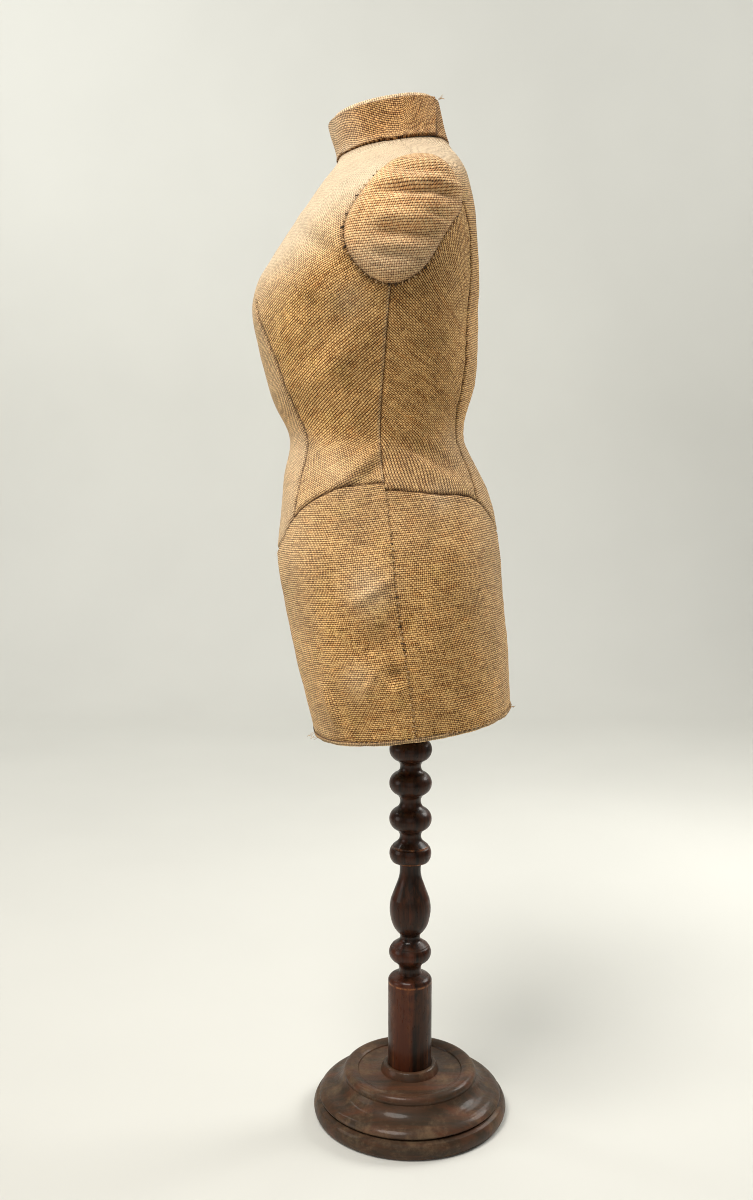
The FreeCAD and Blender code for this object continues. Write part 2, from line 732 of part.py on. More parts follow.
def bottom_cover():
    """A disc of cloth over the hip board, with a hole round the column's seat."""
    start = cover_base()
    disc = form_solid(size("shell_depth") - LAYER_PLAY)
    disc = disc.common(slab("hem", start, start + size("cloth_thickness")))
    hole = vertical_hole(size("pocket_radius") + COVER_HOLE_MARGIN)
    return feature("bottom_cover", disc.cut(hole).cut(cover_tacks_shape()))


def hem_cord():
    """The rolled edge of the skirt, just under the hem plane."""
    edge = layer(-size("band_proud"), size("cloth_thickness"))
    return feature("hem_cord", edge.common(slab("hem", -CORD_HEIGHT, 0)))


def arm_pieces():
    """The left arm's cloth cap, its wadding and its cardboard oval, from the outside in."""
    proud = size("cap_proud")
    cloth = size("cloth_thickness")
    plate_top = cloth - ARM_PLATE_RISE
    inside = arm_prism(cloth + ARM_INSERT_PLAY)
    well = form_solid(cloth - proud).common(arm_prism(cloth))
    cap = layer(-proud, cloth).common(ARM).cut(well)
    pad = layer(cloth - proud + LAYER_PLAY, plate_top - LAYER_PLAY).common(inside)
    plate = layer(plate_top, plate_top + ARM_PLATE_THICKNESS).common(inside)
    return {"arm_cap": cap, "arm_pad": pad, "arm_plate": plate}


def cover_panels():
    """The bodice's and skirt's panels on the left side, cut from one layer along the seams."""
    cloth = layer(0, size("cloth_thickness")).common(above("hem")).common(below("collar_base"))
    cloth = cloth.cut(BOTH_ARMS)
    front = cloth.common(FRONT)
    back = cloth.cut(FRONT)
    darts = dart().fuse(mirrored(dart()))
    left_bodice = back.cut(UNDER_BACK_YOKE).common(LEFT)
    return {
        "bodice_front": front.cut(UNDER_FRONT_YOKE).cut(darts),
        "skirt_front": front.common(UNDER_FRONT_YOKE),
        "skirt_back_left": back.common(UNDER_BACK_YOKE).common(LEFT),
        "bodice_centre_back_left": left_bodice.common(CENTRE_BACK),
        "bodice_side_back_left": left_bodice.cut(CENTRE_BACK),
    }


# ---------------------------------------------------------------- build, check and write


def build():
    """Every piece. The tacks come before the pieces that they pass through."""
    pieces = [base_felt(), base_plinth(), base_moulding(), base_screws(), column(), column_screw(),
              column_screw_washer(), swivel_washer(), cover_tacks(), socket_screws(), hip_board(),
              socket_block()]
    shell = shell_shape()
    pieces.append(feature("shell_front", shell.common(FRONT)))
    pieces.append(feature("shell_back", shell.cut(FRONT)))
    pieces += [neck_block(), neck_cap(), neck_band(), bottom_cover(), hem_cord()]
    for name, shape in {**arm_pieces(), **cover_panels()}.items():
        if name.startswith("arm"):
            name += "_left"
        pieces.append(feature(name, shape))
        if name.endswith("_left"):
            pieces.append(feature(name.replace("_left", "_right"), mirrored(shape)))
    return pieces


def check(pieces):
    doc.recompute()
    for item in doc.Objects:
        if "Invalid" in item.State or "Error" in item.State:
            raise RuntimeError(f"{item.Label} did not build: {item.State}")
    for item in pieces:
        if item.Shape.isNull() or not item.Shape.isValid() or not item.Shape.Solids:
            raise RuntimeError(f"{item.Label} has no valid solid")


pieces = build()
check(pieces)
for item in pieces:
    item.Shape.exportStep(f"parts/{item.Label}.step")
    print(f"{item.Label}: {len(item.Shape.Solids)} solid(s), {item.Shape.Volume / 1000:.1f} cm3")
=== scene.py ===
"""The looks of a burlap dress form on a turned wooden stand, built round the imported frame."""
import math
import random

import bmesh
import bpy
import numpy as np
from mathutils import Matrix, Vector, noise
from mathutils.bvhtree import BVHTree
from mathutils.kdtree import KDTree


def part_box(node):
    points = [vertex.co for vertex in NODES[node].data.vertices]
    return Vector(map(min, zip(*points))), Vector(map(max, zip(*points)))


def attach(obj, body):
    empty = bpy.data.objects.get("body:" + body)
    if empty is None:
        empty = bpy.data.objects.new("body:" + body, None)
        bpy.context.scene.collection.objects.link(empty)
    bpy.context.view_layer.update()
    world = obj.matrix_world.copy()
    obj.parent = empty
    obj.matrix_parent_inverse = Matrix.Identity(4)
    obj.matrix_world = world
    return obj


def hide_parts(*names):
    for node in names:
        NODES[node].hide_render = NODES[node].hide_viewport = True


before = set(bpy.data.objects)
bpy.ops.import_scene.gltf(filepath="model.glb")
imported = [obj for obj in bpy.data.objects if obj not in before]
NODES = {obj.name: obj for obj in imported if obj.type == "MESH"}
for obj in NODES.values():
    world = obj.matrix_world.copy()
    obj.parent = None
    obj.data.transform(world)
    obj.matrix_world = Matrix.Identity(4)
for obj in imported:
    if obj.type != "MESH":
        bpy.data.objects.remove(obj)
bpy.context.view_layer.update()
MM = 0.001

# ---------------------------------------------------------------- camera, light and floor

CAMERA_PLACE = (1.030, -0.0298, 0.581)
CAMERA_DROP = math.radians(6.6)
CAMERA_LENS = 36.21
MIDDLE = (0, 0, 0.6)


def add_camera():
    camera = bpy.data.objects.new("camera", bpy.data.cameras.new("camera"))
    camera.location = CAMERA_PLACE
    camera.rotation_euler = (math.pi / 2 - CAMERA_DROP, 0, math.pi / 2)
    camera.data.lens = CAMERA_LENS
    bpy.context.collection.objects.link(camera)
    bpy.context.scene.camera = camera


# Name, place, target, diameter, power, colour and spread in degrees.
LIGHTS = (("key_light", (0.80, -0.60, 2.15), MIDDLE, 1.0, 39, (1.0, 0.965, 0.91), 180),
          ("fill_light", (1.9, -0.1, 1.0), MIDDLE, 1.6, 3.8, (1.0, 0.98, 0.95), 180),
          ("left_light", (0.35, -1.7, 0.75), (0, 0, 0.5), 0.9, 5.5, (1.0, 0.97, 0.92), 180),
          ("floor_light", (-0.85, 0.80, 1.0), (-0.36, 0.28, 0.0), 0.5, 0.8, (1.0, 0.99, 0.95), 75),
          ("rim_light", (-0.55, 1.3, 1.2), MIDDLE, 0.7, 14, (1.0, 0.98, 0.94), 180),
          ("backdrop_light_1", (-0.75, -1.5, 1.9), (-2.3, -0.4, 1.7), 1.0, 20.5, (1.0, 1.0, 0.97), 180),
          ("backdrop_light_3", (-0.75, 1.5, 1.9), (-2.3, 0.4, 1.7), 1.0, 11.5, (1.0, 1.0, 0.97), 180))


def add_lights():
    for name, place, target, size, power, colour, spread in LIGHTS:
        lamp = bpy.data.lights.new(name, "AREA")
        lamp.shape = "DISK"
        lamp.size = size
        lamp.energy = power
        lamp.color = colour
        lamp.spread = math.radians(spread)
        light = bpy.data.objects.new(name, lamp)
        light.location = place
        light.rotation_euler = (Vector(target) - Vector(place)).to_track_quat("-Z", "Y").to_euler()
        light.visible_camera = False
        bpy.context.collection.objects.link(light)
    world = bpy.data.worlds.new("studio")
    world.use_nodes = True
    background = world.node_tree.nodes["Background"]
    background.inputs["Color"].default_value = (0.93, 0.93, 0.88, 1)
    background.inputs["Strength"].default_value = 0.17
    bpy.context.scene.world = world
    bpy.context.scene.view_settings.view_transform = "Standard"
    bpy.context.scene.cycles.denoising_prefilter = "NONE"
    bpy.context.scene.cycles.filter_width = 1.0


# ---------------------------------------------------------------- material nodes


# The colour sockets of a Mix node, which share their names with its number sockets.
MIX_FIRST, MIX_SECOND, MIX_RESULT = 6, 7, 2


class Shader:
    """A material whose nodes are added by short calls. Every value may be a number, a colour or
    the output of an earlier call."""

    def __init__(self, name):
        self.material = bpy.data.materials.new(name)
        self.material.use_nodes = True
        self.nodes = self.material.node_tree.nodes
        self.links = self.material.node_tree.links
        self.surface = self.nodes["Principled BSDF"]

    def put(self, socket, value):
        if isinstance(value, bpy.types.NodeSocket):
            self.links.new(value, socket)
        elif isinstance(value, tuple) and len(value) == 3 and socket.type == "RGBA":
            socket.default_value = (*value, 1)
        else:
            socket.default_value = value

    def node(self, kind, values, **settings):
        node = self.nodes.new("ShaderNode" + kind)
        for name, setting in settings.items():
            setattr(node, name, setting)
        for key, value in values.items():
            self.put(node.inputs[key], value)
        return node

    def math(self, operation, *values, clamp=False):
        node = self.node("Math", dict(enumerate(values)), operation=operation, use_clamp=clamp)
        return node.outputs[0]

    def vector(self, x, y, z=0.0):
        return self.node("CombineXYZ", {0: x, 1: y, 2: z}).outputs[0]

    def noise(self, vector, scale, detail=2.0, roughness=0.5, colour=False):
        node = self.node("TexNoise", {"Vector": vector, "Scale": scale, "Detail": detail,
                                      "Roughness": roughness})
        return node.outputs["Color" if colour else "Fac"]

    def add(self, first, second, clamp=False):
        return self.math("ADD", first, second, clamp=clamp)

    def times(self, first, second):
        return self.math("MULTIPLY", first, second)

    def stretch(self, vector, factors):
        return self.node("VectorMath", {0: vector, 1: factors}, operation="MULTIPLY").outputs[0]

    def shift(self, vector, offset):
        return self.node("VectorMath", {0: vector, 1: offset}, operation="ADD").outputs[0]

    def wander(self, vector, scale, detail, reach):
        """A random offset along X and Y for each place."""
        centred = self.shift(self.noise(vector, scale, detail, colour=True), (-0.5, -0.5, -0.5))
        return self.stretch(centred, (reach, reach, 0))

    def shaded(self, colour, value):
        """A colour made lighter or darker by a value round 1."""
        return self.mix(1.0, colour, self.vector(value, value, value), "MULTIPLY")

    def span(self, value, low, high, to_low=0.0, to_high=1.0, kind="SMOOTHSTEP"):
        """The value's way from low to high, turned into a way from to_low to to_high, and clamped."""
        node = self.node("MapRange", {"Value": value, "From Min": low, "From Max": high,
                                      "To Min": to_low, "To Max": to_high}, interpolation_type=kind)
        return node.outputs[0]

    def mix(self, share, first, second, blend="MIX"):
        node = self.node("Mix", {}, data_type="RGBA", blend_type=blend)
        self.put(node.inputs["Factor"], share)
        self.put(node.inputs[MIX_FIRST], first)
        self.put(node.inputs[MIX_SECOND], second)
        return node.outputs[MIX_RESULT]

    def attribute(self, name):
        return self.node("Attribute", {}, attribute_name=name)

    def place(self):
        return self.node("TexCoord", {}).outputs["Object"]

    def bump(self, height, distance, strength=1.0):
        return self.node("Bump", {"Height": height, "Distance": distance, "Strength": strength}).outputs[0]

    def finish(self, colour, roughness, normal, uniform=()):
        """Link the surface's colour, roughness and normal, and set its uniform values."""
        for name, value in (("Base Color", colour), ("Roughness", roughness), ("Normal", normal), *uniform):
            self.put(self.surface.inputs[name], value)
        return self.material


WEFT_PITCH = 1.72 * MM
WARP_PITCH = 1.62 * MM
SLOW_WAVER = 1.1 * MM
QUICK_WAVER = 0.55 * MM
YARN_RELIEF = 0.85 * MM
# Colour multiplied in by the painted shade along seams, creases and edges.
PAINTED_SHADE_COLOUR = (0.16, 0.10, 0.06)


def weave(s, thread):
    """Height of the woven surface over the cloth's middle, and how light its yarns are: their own tone, with
    painted shade where they dip under each other and in the gaps.
    """
    laid = s.shift(thread, s.wander(thread, 55, 1.5, SLOW_WAVER))
    laid = s.shift(laid, s.wander(thread, 330, 1, QUICK_WAVER))
    split = s.node("SeparateXYZ", {0: laid})
    x = s.math("DIVIDE", split.outputs[0], WARP_PITCH)
    y = s.math("DIVIDE", split.outputs[1], WEFT_PITCH)
    column = s.math("FLOOR", x)
    row = s.math("FLOOR", y)
    off_x = s.math("SUBTRACT", s.math("FRACT", x), 0.5)
    off_y = s.math("SUBTRACT", s.math("FRACT", y), 0.5)
    over = s.math("MULTIPLY_ADD", s.math("FLOORED_MODULO", s.add(column, row), 2.0), -2.0, 1.0)

    def yarn(across, along, number, position, side, seed):
        """Height of one family of yarns, and each yarn's own tone."""
        slub = s.noise(s.vector(s.times(number, 3.17), s.times(position, 0.16), seed), 1.0, 2)
        share = s.math("DIVIDE", across, s.math("MULTIPLY_ADD", slub, 0.36, 0.18))
        inside = s.math("SUBTRACT", 1.0, s.times(share, share))
        round_top = s.math("SQRT", s.math("MAXIMUM", inside, 0.0))
        wave = s.times(side, s.math("COSINE", s.times(along, math.pi)))
        height = s.add(s.times(wave, 0.5), s.times(round_top, 0.5))
        height = s.math("SUBTRACT", height, s.math("LESS_THAN", round_top, 0.02))
        return height, s.noise(s.vector(s.times(number, 5.71), s.times(position, 0.11), seed + 4), 1.0, 2)

    weft, weft_tone = yarn(off_y, off_x, row, x, over, 1.0)
    warp, warp_tone = yarn(off_x, off_y, column, y, s.times(over, -1.0), 9.0)
    height = s.math("MAXIMUM", s.math("MAXIMUM", weft, warp), -1.0)
    on_top = s.math("GREATER_THAN", weft, warp)
    weft_tone = s.span(weft_tone, 0.25, 0.75, -1, 1, "LINEAR")
    warp_tone = s.span(warp_tone, 0.25, 0.75, -0.4, 0.4, "LINEAR")
    tone = s.add(s.times(on_top, weft_tone), s.times(s.math("SUBTRACT", 1.0, on_top), warp_tone))
    level = s.add(s.span(height, -0.6, 0.95, 0, 1, "LINEAR"), s.times(tone, 0.34))
    return height, s.add(level, s.math("MULTIPLY_ADD", on_top, 0.24, -0.14), clamp=True)


def burlap(name, straw, brown, gap):
    """Plain weave drawn from the cloth's own thread coordinates, in metres: X along the weft."""
    s = Shader(name)
    thread = s.attribute("thread").outputs["Vector"]
    place = s.place()
    height, level = weave(s, thread)
    # The ramp turns the weave's level into colour, with painted shade in the gaps and on the lower yarns.
    shade = s.node("ValToRGB", {0: level})
    ramp = shade.color_ramp
    ramp.elements[0].position, ramp.elements[0].color = 0.25, (*gap, 1)
    ramp.elements[1].position, ramp.elements[1].color = 0.95, (*straw, 1)
    ramp.elements.new(0.64).color = (*brown, 1)
    colour = shade.outputs[0]

    rust = s.span(s.noise(s.stretch(thread, (70, 150, 1)), 1.0, 3, 0.6), 0.5, 0.74)
    colour = s.mix(s.times(rust, 0.4), colour, (0.98, 0.72, 0.46), "MULTIPLY")
    olive = s.span(s.noise(place, 48, 2, 0.55), 0.54, 0.72)
    colour = s.mix(s.times(olive, 0.35), colour, (0.84, 0.92, 0.74), "MULTIPLY")
    colour = s.shaded(colour, s.span(s.noise(place, 13, 4, 0.62), 0.36, 0.66, 0.78, 1.12, "LINEAR"))
    fine = s.noise(s.stretch(thread, (260, 520, 1)), 1.0, 2, 0.6)
    colour = s.shaded(colour, s.span(fine, 0.3, 0.7, 0.84, 1.16, "LINEAR"))
    # Painted light: the cloth turns pale and creamy where this attribute is high.
    pale = s.mix(level, (0.42, 0.29, 0.165), (0.98, 0.83, 0.62))
    colour = s.mix(s.times(s.attribute("painted_light").outputs["Fac"], 0.8), colour, pale)
    # Painted shade along seams, creases and edges, from the seam attribute.
    colour = s.mix(s.times(s.attribute("seam").outputs["Fac"], 0.9), colour, PAINTED_SHADE_COLOUR, "MULTIPLY")

    hair = s.noise(s.stretch(thread, (1900, 5200, 1)), 1.0, 2)
    relief = s.add(s.times(height, 0.5), s.times(hair, 0.16))
    roughness = s.span(level, 0.0, 1.0, 0.96, 0.8, "LINEAR")
    return s.finish(colour, roughness, s.bump(relief, YARN_RELIEF),
                    (("Sheen Weight", 0.14), ("Sheen Roughness", 0.3), ("Sheen Tint", (1.0, 0.82, 0.55)),
                     ("Specular IOR Level", 0.22)))


# Heights of the edges where the column's stain has worn through.
WORN_RINGS = (0.1205, 0.2312, 0.2445)


def turned_wood(name, along, dusty, gloss):
    """Dark stained hardwood. along gives the grain's stretch in X, Y and Z: small is along the grain."""
    s = Shader(name)
    place = s.place()
    laid = s.shift(place, s.stretch(s.noise(place, 14, 2, colour=True), (6 * MM, 6 * MM, 6 * MM)))

    def streaks(factor, detail, roughness, low, high):
        stretched = s.stretch(laid, tuple(factor * value for value in along))
        return s.span(s.noise(stretched, 1.0, detail, roughness), low, high)

    colour = s.mix(streaks(1, 5, 0.65, 0.34, 0.68), (0.0055, 0.0022, 0.0012), (0.044, 0.0130, 0.0046))
    colour = s.mix(s.times(streaks(0.4, 3, 0.5, 0.5, 0.7), 0.6), colour, (0.088, 0.0185, 0.0060))
    pore = streaks(5, 2, 0.5, 0.6, 0.68)
    colour = s.mix(s.times(pore, 0.55), colour, (0.006, 0.004, 0.003))
    dust = s.span(s.noise(place, 42, 5, 0.72), 0.46, 0.70)
    colour = s.mix(s.math("MULTIPLY_ADD", dust, 0.7 * dusty, 0.28 * dusty), colour, (0.26, 0.175, 0.10))
    worn = s.span(s.node("NewGeometry", {}).outputs["Pointiness"], 0.54, 0.62)
    height = s.node("SeparateXYZ", {0: place}).outputs[2]
    for ring in WORN_RINGS:
        away = s.math("ABSOLUTE", s.math("SUBTRACT", height, ring))
        worn = s.math("MAXIMUM", worn, s.span(away, 0.4 * MM, 1.1 * MM, 1.0, 0.0))
    worn = s.times(worn, s.span(s.noise(place, 120, 4, 0.7), 0.38, 0.6))
    colour = s.mix(s.times(worn, 0.8), colour, (0.30, 0.105, 0.032))
    scratch = s.noise(s.stretch(place, (420, 420, 90)), 1.0, 3, 0.6)
    rough = s.add(s.span(scratch, 0.3, 0.7, gloss, gloss + 0.18, "LINEAR"), s.times(dust, 0.3))
    relief = s.add(s.times(pore, -0.5), s.times(s.noise(place, 95, 3), 0.7))
    return s.finish(colour, rough, s.bump(relief, 0.12 * MM, 0.5),
                    (("Specular IOR Level", 0.15), ("Coat Weight", 0.16), ("Coat Roughness", 0.12)))


def grainy(name, dark, light, scale, rough, bump_depth, metallic=0.0, stretch=(1, 1, 1)):
    """A plain material with two colours of mottling, uneven gloss and a fine grain."""
    s = Shader(name)
    place = s.stretch(s.place(), stretch)
    fine = s.noise(place, scale * 7, 3, 0.6)
    colour = s.mix(s.span(s.noise(place, scale, 4, 0.6), 0.35, 0.65), dark, light)
    colour = s.mix(s.span(fine, 0.3, 0.75, 0.0, 0.3), colour, dark)
    roughness = s.span(fine, 0.3, 0.7, rough - 0.08, rough + 0.08, "LINEAR")
    return s.finish(colour, roughness, s.bump(fine, bump_depth, 0.6), (("Metallic", metallic),))


# Colours of the straw's lit yarns, the yarns in shade, and the gaps between them.
GAP = (0.012, 0.0045, 0.001)
BURLAPS = {"burlap": ((1.0, 0.625, 0.250), (0.365, 0.152, 0.038), GAP),
           "burlap_cap": ((1.0, 0.66, 0.31), (0.60, 0.265, 0.085), (0.020, 0.0065, 0.0015)),
           "burlap_band": ((0.90, 0.53, 0.22), (0.28, 0.115, 0.033), GAP),
           "lining": ((0.66, 0.52, 0.34), (0.42, 0.31, 0.18), (0.12, 0.08, 0.04))}
# The grain's stretch, how dusty and how rough.
WOODS = {"column_wood": ((190, 190, 9), 0.03, 0.24), "base_wood": ((150, 11, 150), 0.40, 0.40)}
# Dark and light colour, scale of the mottling, roughness, depth of the grain, and metal.
GRAINY = {"felt": ((0.012, 0.03, 0.018), (0.03, 0.06, 0.035), 900, 0.95, 0.2 * MM),
          "steel": ((0.28, 0.27, 0.26), (0.5, 0.49, 0.47), 220, 0.38, 0.02 * MM, 1.0),
          "tack_steel": ((0.10, 0.085, 0.07), (0.34, 0.30, 0.26), 260, 0.42, 0.03 * MM, 1.0),
          "leather": ((0.09, 0.045, 0.02), (0.19, 0.10, 0.05), 700, 0.6, 0.12 * MM),
          "board_wood": ((0.36, 0.24, 0.13), (0.55, 0.40, 0.24), 30, 0.6, 0.08 * MM, 0.0, (1, 9, 9)),
          "paper_shell": ((0.35, 0.28, 0.20), (0.52, 0.45, 0.35), 60, 0.85, 0.2 * MM),
          "card": ((0.33, 0.24, 0.15), (0.46, 0.36, 0.24), 140, 0.8, 0.08 * MM),
          "wadding": ((0.68, 0.64, 0.56), (0.86, 0.84, 0.78), 120, 0.95, 0.5 * MM),
          "thread": ((0.34, 0.19, 0.075), (0.72, 0.50, 0.27), 900, 0.85, 0.1 * MM),
          "dark_thread": ((0.03, 0.016, 0.007), (0.10, 0.055, 0.025), 900, 0.9, 0.1 * MM)}


def make_materials():
    kinds = ((burlap, BURLAPS), (turned_wood, WOODS), (grainy, GRAINY))
    return {name: make(name, *facts) for make, table in kinds for name, facts in table.items()}


# ---------------------------------------------------------------- the form's surface, read from the frame

PANELS = ("bodice_front", "bodice_side_back_left", "bodice_side_back_right", "bodice_centre_back_left",
          "bodice_centre_back_right", "skirt_front", "skirt_back_left", "skirt_back_right")
CAPS = ("arm_cap_left", "arm_cap_right")
SKIN = PANELS + CAPS + ("neck_band",)
SHELLS = ("shell_front", "shell_back")
PROUD = {"arm_cap_left": 2 * MM, "arm_cap_right": 2 * MM, "neck_band": 1.3 * MM,
         "shell_front": -1.8 * MM, "shell_back": -1.8 * MM}
# Columns of the grid, the distance between its rows, and how much of its height is left at each end.
AROUND = 440
CELL = 1.6 * MM
GRID_INSET = 0.0008
# Rays that measure the surface before the grid is laid out.
SAMPLE_ROWS = 180
SAMPLE_COLUMNS = 24
SAMPLE_TURN = 0.1
REACH = 0.3
SMOOTHING = 12
FAN_BLEND = 0.02
# Added to the front's number for its cloth beyond the darts.
DART_PART = 100
DART_BELOW = 0.03
DART_STEP = 4 * MM
DART_WIDEST = 2 * MM
DART_PLACES = np.arange(45, 75, 0.12) * MM
SHOULDER_SEAM = 0.79
YOKE_SEAM = 0.562


def bell(gap, width, power=2):
    """1 at no distance, falling off to 0 past a width on both sides."""
    return np.exp(-(gap / width) ** power)


def decay(gap, width):
    """1 at no distance, falling off quickly at first and slowly afterwards."""
    return np.exp(-gap / width)


def limited(value, low=0, high=1):
    """The value, kept between two limits."""
    return min(max(value, low), high)


def surface_tree(names):
    """One search tree over several nodes, and the node that each of its faces belongs to."""
    points, faces, owners = [], [], []
    for name in names:
        mesh = NODES[name].data
        start = len(points)
        points += [vertex.co.copy() for vertex in mesh.vertices]
        faces += [[start + index for index in face.vertices] for face in mesh.polygons]
        owners += [name] * len(mesh.polygons)
    return BVHTree.FromPolygons(points, faces), owners


def end_plane(names, top):
    """Height at Y = 0 and slope along Y of the plane that a ring of pieces ends in."""
    points = np.array([vertex.co for name in names for vertex in NODES[name].data.vertices])
    sector = np.floor(np.arctan2(points[:, 1] - AXIS_Y, points[:, 0]) / math.pi * 24)
    pick = np.argmax if top else np.argmin
    groups = [points[sector == number] for number in np.unique(sector)]
    ends = np.array([group[pick(group[:, 2])] for group in groups])
    slope, height = np.polyfit(ends[:, 1], ends[:, 2], 1)
    return height, slope


AXIS_Y = (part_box("neck_band")[0][1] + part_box("neck_band")[1][1]) / 2
SKIRTS = ("skirt_front", "skirt_back_left", "skirt_back_right")
HEM_HEIGHT, HEM_SLOPE = end_plane(SKIRTS, False)
NECK_HEIGHT, NECK_SLOPE = end_plane(("neck_band",), True)
FOOT = HEM_HEIGHT + HEM_SLOPE * AXIS_Y
TOP = NECK_HEIGHT + NECK_SLOPE * AXIS_Y
# Rays leave the axis and fan upwards over the shoulders: the share of the way up the axis, how far
# they rise for each metre outwards, and how much more they rise towards +Y.
FAN = ((0, 0, HEM_SLOPE), (0.2, 0, 0.05), (0.4, 0, 0), (0.66, 0, 0), (0.74, 0.10, 0.03), (0.79, 0.25, 0.07),
       (0.82, 0.40, 0.11), (0.85, 0.50, 0.14), (0.88, 0.50, 0.155), (0.925, 0.25, 0.165), (0.97, 0.08, 0.18),
       (1, 0, NECK_SLOPE))
SKIN_TREE, SKIN_OWNERS = surface_tree(SKIN + SHELLS)
CLOTH_TREE, CLOTH_OWNERS = surface_tree(SKIN)


def fan_row(share):
    """Axis height, rise and lean of the rays at a share of the way up."""
    stops, rises, leans = zip(*FAN)
    near_end = min(1, share / FAN_BLEND, (1 - share) / FAN_BLEND)
    spread = np.clip(share + np.linspace(-1, 1, 9) * FAN_BLEND * near_end, 0, 1)
    rise, lean = (float(np.mean(np.interp(spread, stops, values))) for values in (rises, leans))
    return FOOT + (TOP - FOOT) * share, rise, lean


def ray(row, angle):
    direction = Vector((math.cos(angle), math.sin(angle), row[1] + row[2] * math.sin(angle)))
    return Vector((0, AXIS_Y, row[0])), direction


def along_ray(row, angle, distance):
    start, direction = ray(row, angle)
    return start + direction * distance


def meet(row, angle):
    """How far out a ray meets the cloth, in its own lengths, and the node it meets."""
    start, direction = ray(row, angle)
    place, normal, face, _ = SKIN_TREE.ray_cast(start + direction * REACH, -direction)
    if place is None:
        return None, None
    owner = SKIN_OWNERS[face]
    place = place - normal * PROUD.get(owner, 0)
    if owner in SHELLS:
        owner = CLOTH_OWNERS[CLOTH_TREE.find_nearest(place)[2]]
    return (place - start).dot(direction) / direction.length_squared, owner


def find_dart():
    """Place across the front of the dart's slit at each height, from its gap in the front's cloth."""
    tree = surface_tree(("bodice_front",))[0]
    low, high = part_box("bodice_front")[0][2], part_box("bodice_front")[1][2]
    found = []
    for height in np.arange(low, high, DART_STEP):
        gaps = [x for x in DART_PLACES
                if tree.ray_cast(Vector((x, -REACH, height)), Vector((0, 1, 0)), REACH)[0] is None]
        if gaps and gaps[-1] - gaps[0] < DART_WIDEST:
            found.append((height, sum(gaps) / len(gaps)))
    return np.array(found)


DART = find_dart()
DART_FOOT, DART_TIP = DART[0, 0] - DART_BELOW, DART[-1, 0]


def past_dart(point):
    """Whether a point of the front lies further out than its dart."""
    return abs(point.x) > np.interp(point.z, DART[:, 0], DART[:, 1])


def label_at(row, angle):
    """Number of the piece that a ray meets. The front's cloth beyond its darts has a number of its own."""
    distance, owner = meet(row, angle)
    if owner is None:
        return -1
    number = SKIN.index(owner)
    if owner == "bodice_front":
        place = along_ray(row, angle, distance)
        if DART_FOOT < place.z < DART_TIP and past_dart(place):
            number += DART_PART
    return number


def even_rows():
    """Shares up the axis at which the rows lie one cell apart along the surface, on the average."""
    shares = np.linspace(0, 1, SAMPLE_ROWS)
    angles = np.linspace(0, 2 * math.pi, SAMPLE_COLUMNS, endpoint=False) + SAMPLE_TURN
    points = np.zeros((len(shares), len(angles), 3))
    for j, share in enumerate(shares):
        row = fan_row(share)
        for i, angle in enumerate(angles):
            points[j, i] = along_ray(row, angle, meet(row, angle)[0] or 0.05)
    steps = np.linalg.norm(np.diff(points, axis=0), axis=2).mean(axis=1)
    length = np.concatenate([[0], np.cumsum(steps)])
    count = int(length[-1] / CELL) + 1
    return np.interp(np.linspace(0, length[-1], count), length, shares)


class Grid:
    """The whole outside of the form as rows and columns of points, from the hem to the neck's top.
    Column 0 is beside the centre back, and the columns go round through the right, the front and the
    left side, as seen by someone who wears the form."""

    def __init__(self):
        shares = GRID_INSET + even_rows() * (1 - 2 * GRID_INSET)
        self.rows = [fan_row(share) for share in shares]
        self.angles = [-1.5 * math.pi + 2 * math.pi * (i + 0.5) / AROUND for i in range(AROUND)]
        height, width = len(self.rows), AROUND
        radius = np.zeros((height, width))
        self.label = np.zeros((height, width), int)
        for j, row in enumerate(self.rows):
            for i, angle in enumerate(self.angles):
                found, _ = meet(row, angle)
                radius[j, i] = found if found is not None else radius[j, i - 1]
                self.label[j, i] = label_at(row, angle)
        for _ in range(SMOOTHING):
            radius = (np.roll(radius, 1, 1) + 2 * radius + np.roll(radius, -1, 1)) / 4
            tall = np.vstack([2 * radius[:1] - radius[1:2], radius, 2 * radius[-1:] - radius[-2:-1]])
            radius = (tall[:-2] + 2 * tall[1:-1] + tall[2:]) / 4
        self.points = np.zeros((height, width, 3))
        for j, row in enumerate(self.rows):
            for i, angle in enumerate(self.angles):
                self.points[j, i] = along_ray(row, angle, radius[j, i])
        across = np.roll(self.points, -1, 1) - np.roll(self.points, 1, 1)
        up = np.gradient(self.points, axis=0)
        normals = np.cross(across, up)
        self.normals = normals / np.linalg.norm(normals, axis=2, keepdims=True)
        steps = np.linalg.norm(np.diff(self.points, axis=0), axis=2)
        self.up = np.vstack([np.zeros((1, width)), np.cumsum(steps, axis=0)])
        steps = np.linalg.norm(np.diff(self.points, axis=1), axis=2)
        around = np.hstack([np.zeros((height, 1)), np.cumsum(steps, axis=1)])
        self.across = around - around[:, width // 2 - 1:width // 2]

    def number(self, j, i):
        return j * AROUND + i % AROUND


HALVINGS = 7
CUT_MARGIN = 0.08


def crossing_share(grid, first, second):
    """How far along a grid edge the piece changes, found by halving."""
    (j0, i0), (j1, i1) = first, second
    row0, row1 = np.array(grid.rows[j0]), np.array(grid.rows[j1])
    angle0, angle1 = grid.angles[i0 % AROUND], grid.angles[i1 % AROUND]
    if angle1 < angle0 - math.pi:
        angle1 += 2 * math.pi
    label = grid.label[j0, i0 % AROUND]
    low, high = 0.0, 1.0
    for _ in range(HALVINGS):
        middle = (low + high) / 2
        if label_at(tuple(row0 + (row1 - row0) * middle), angle0 + (angle1 - angle0) * middle) == label:
            low = middle
        else:
            high = middle
    return limited((low + high) / 2, CUT_MARGIN, 1 - CUT_MARGIN)


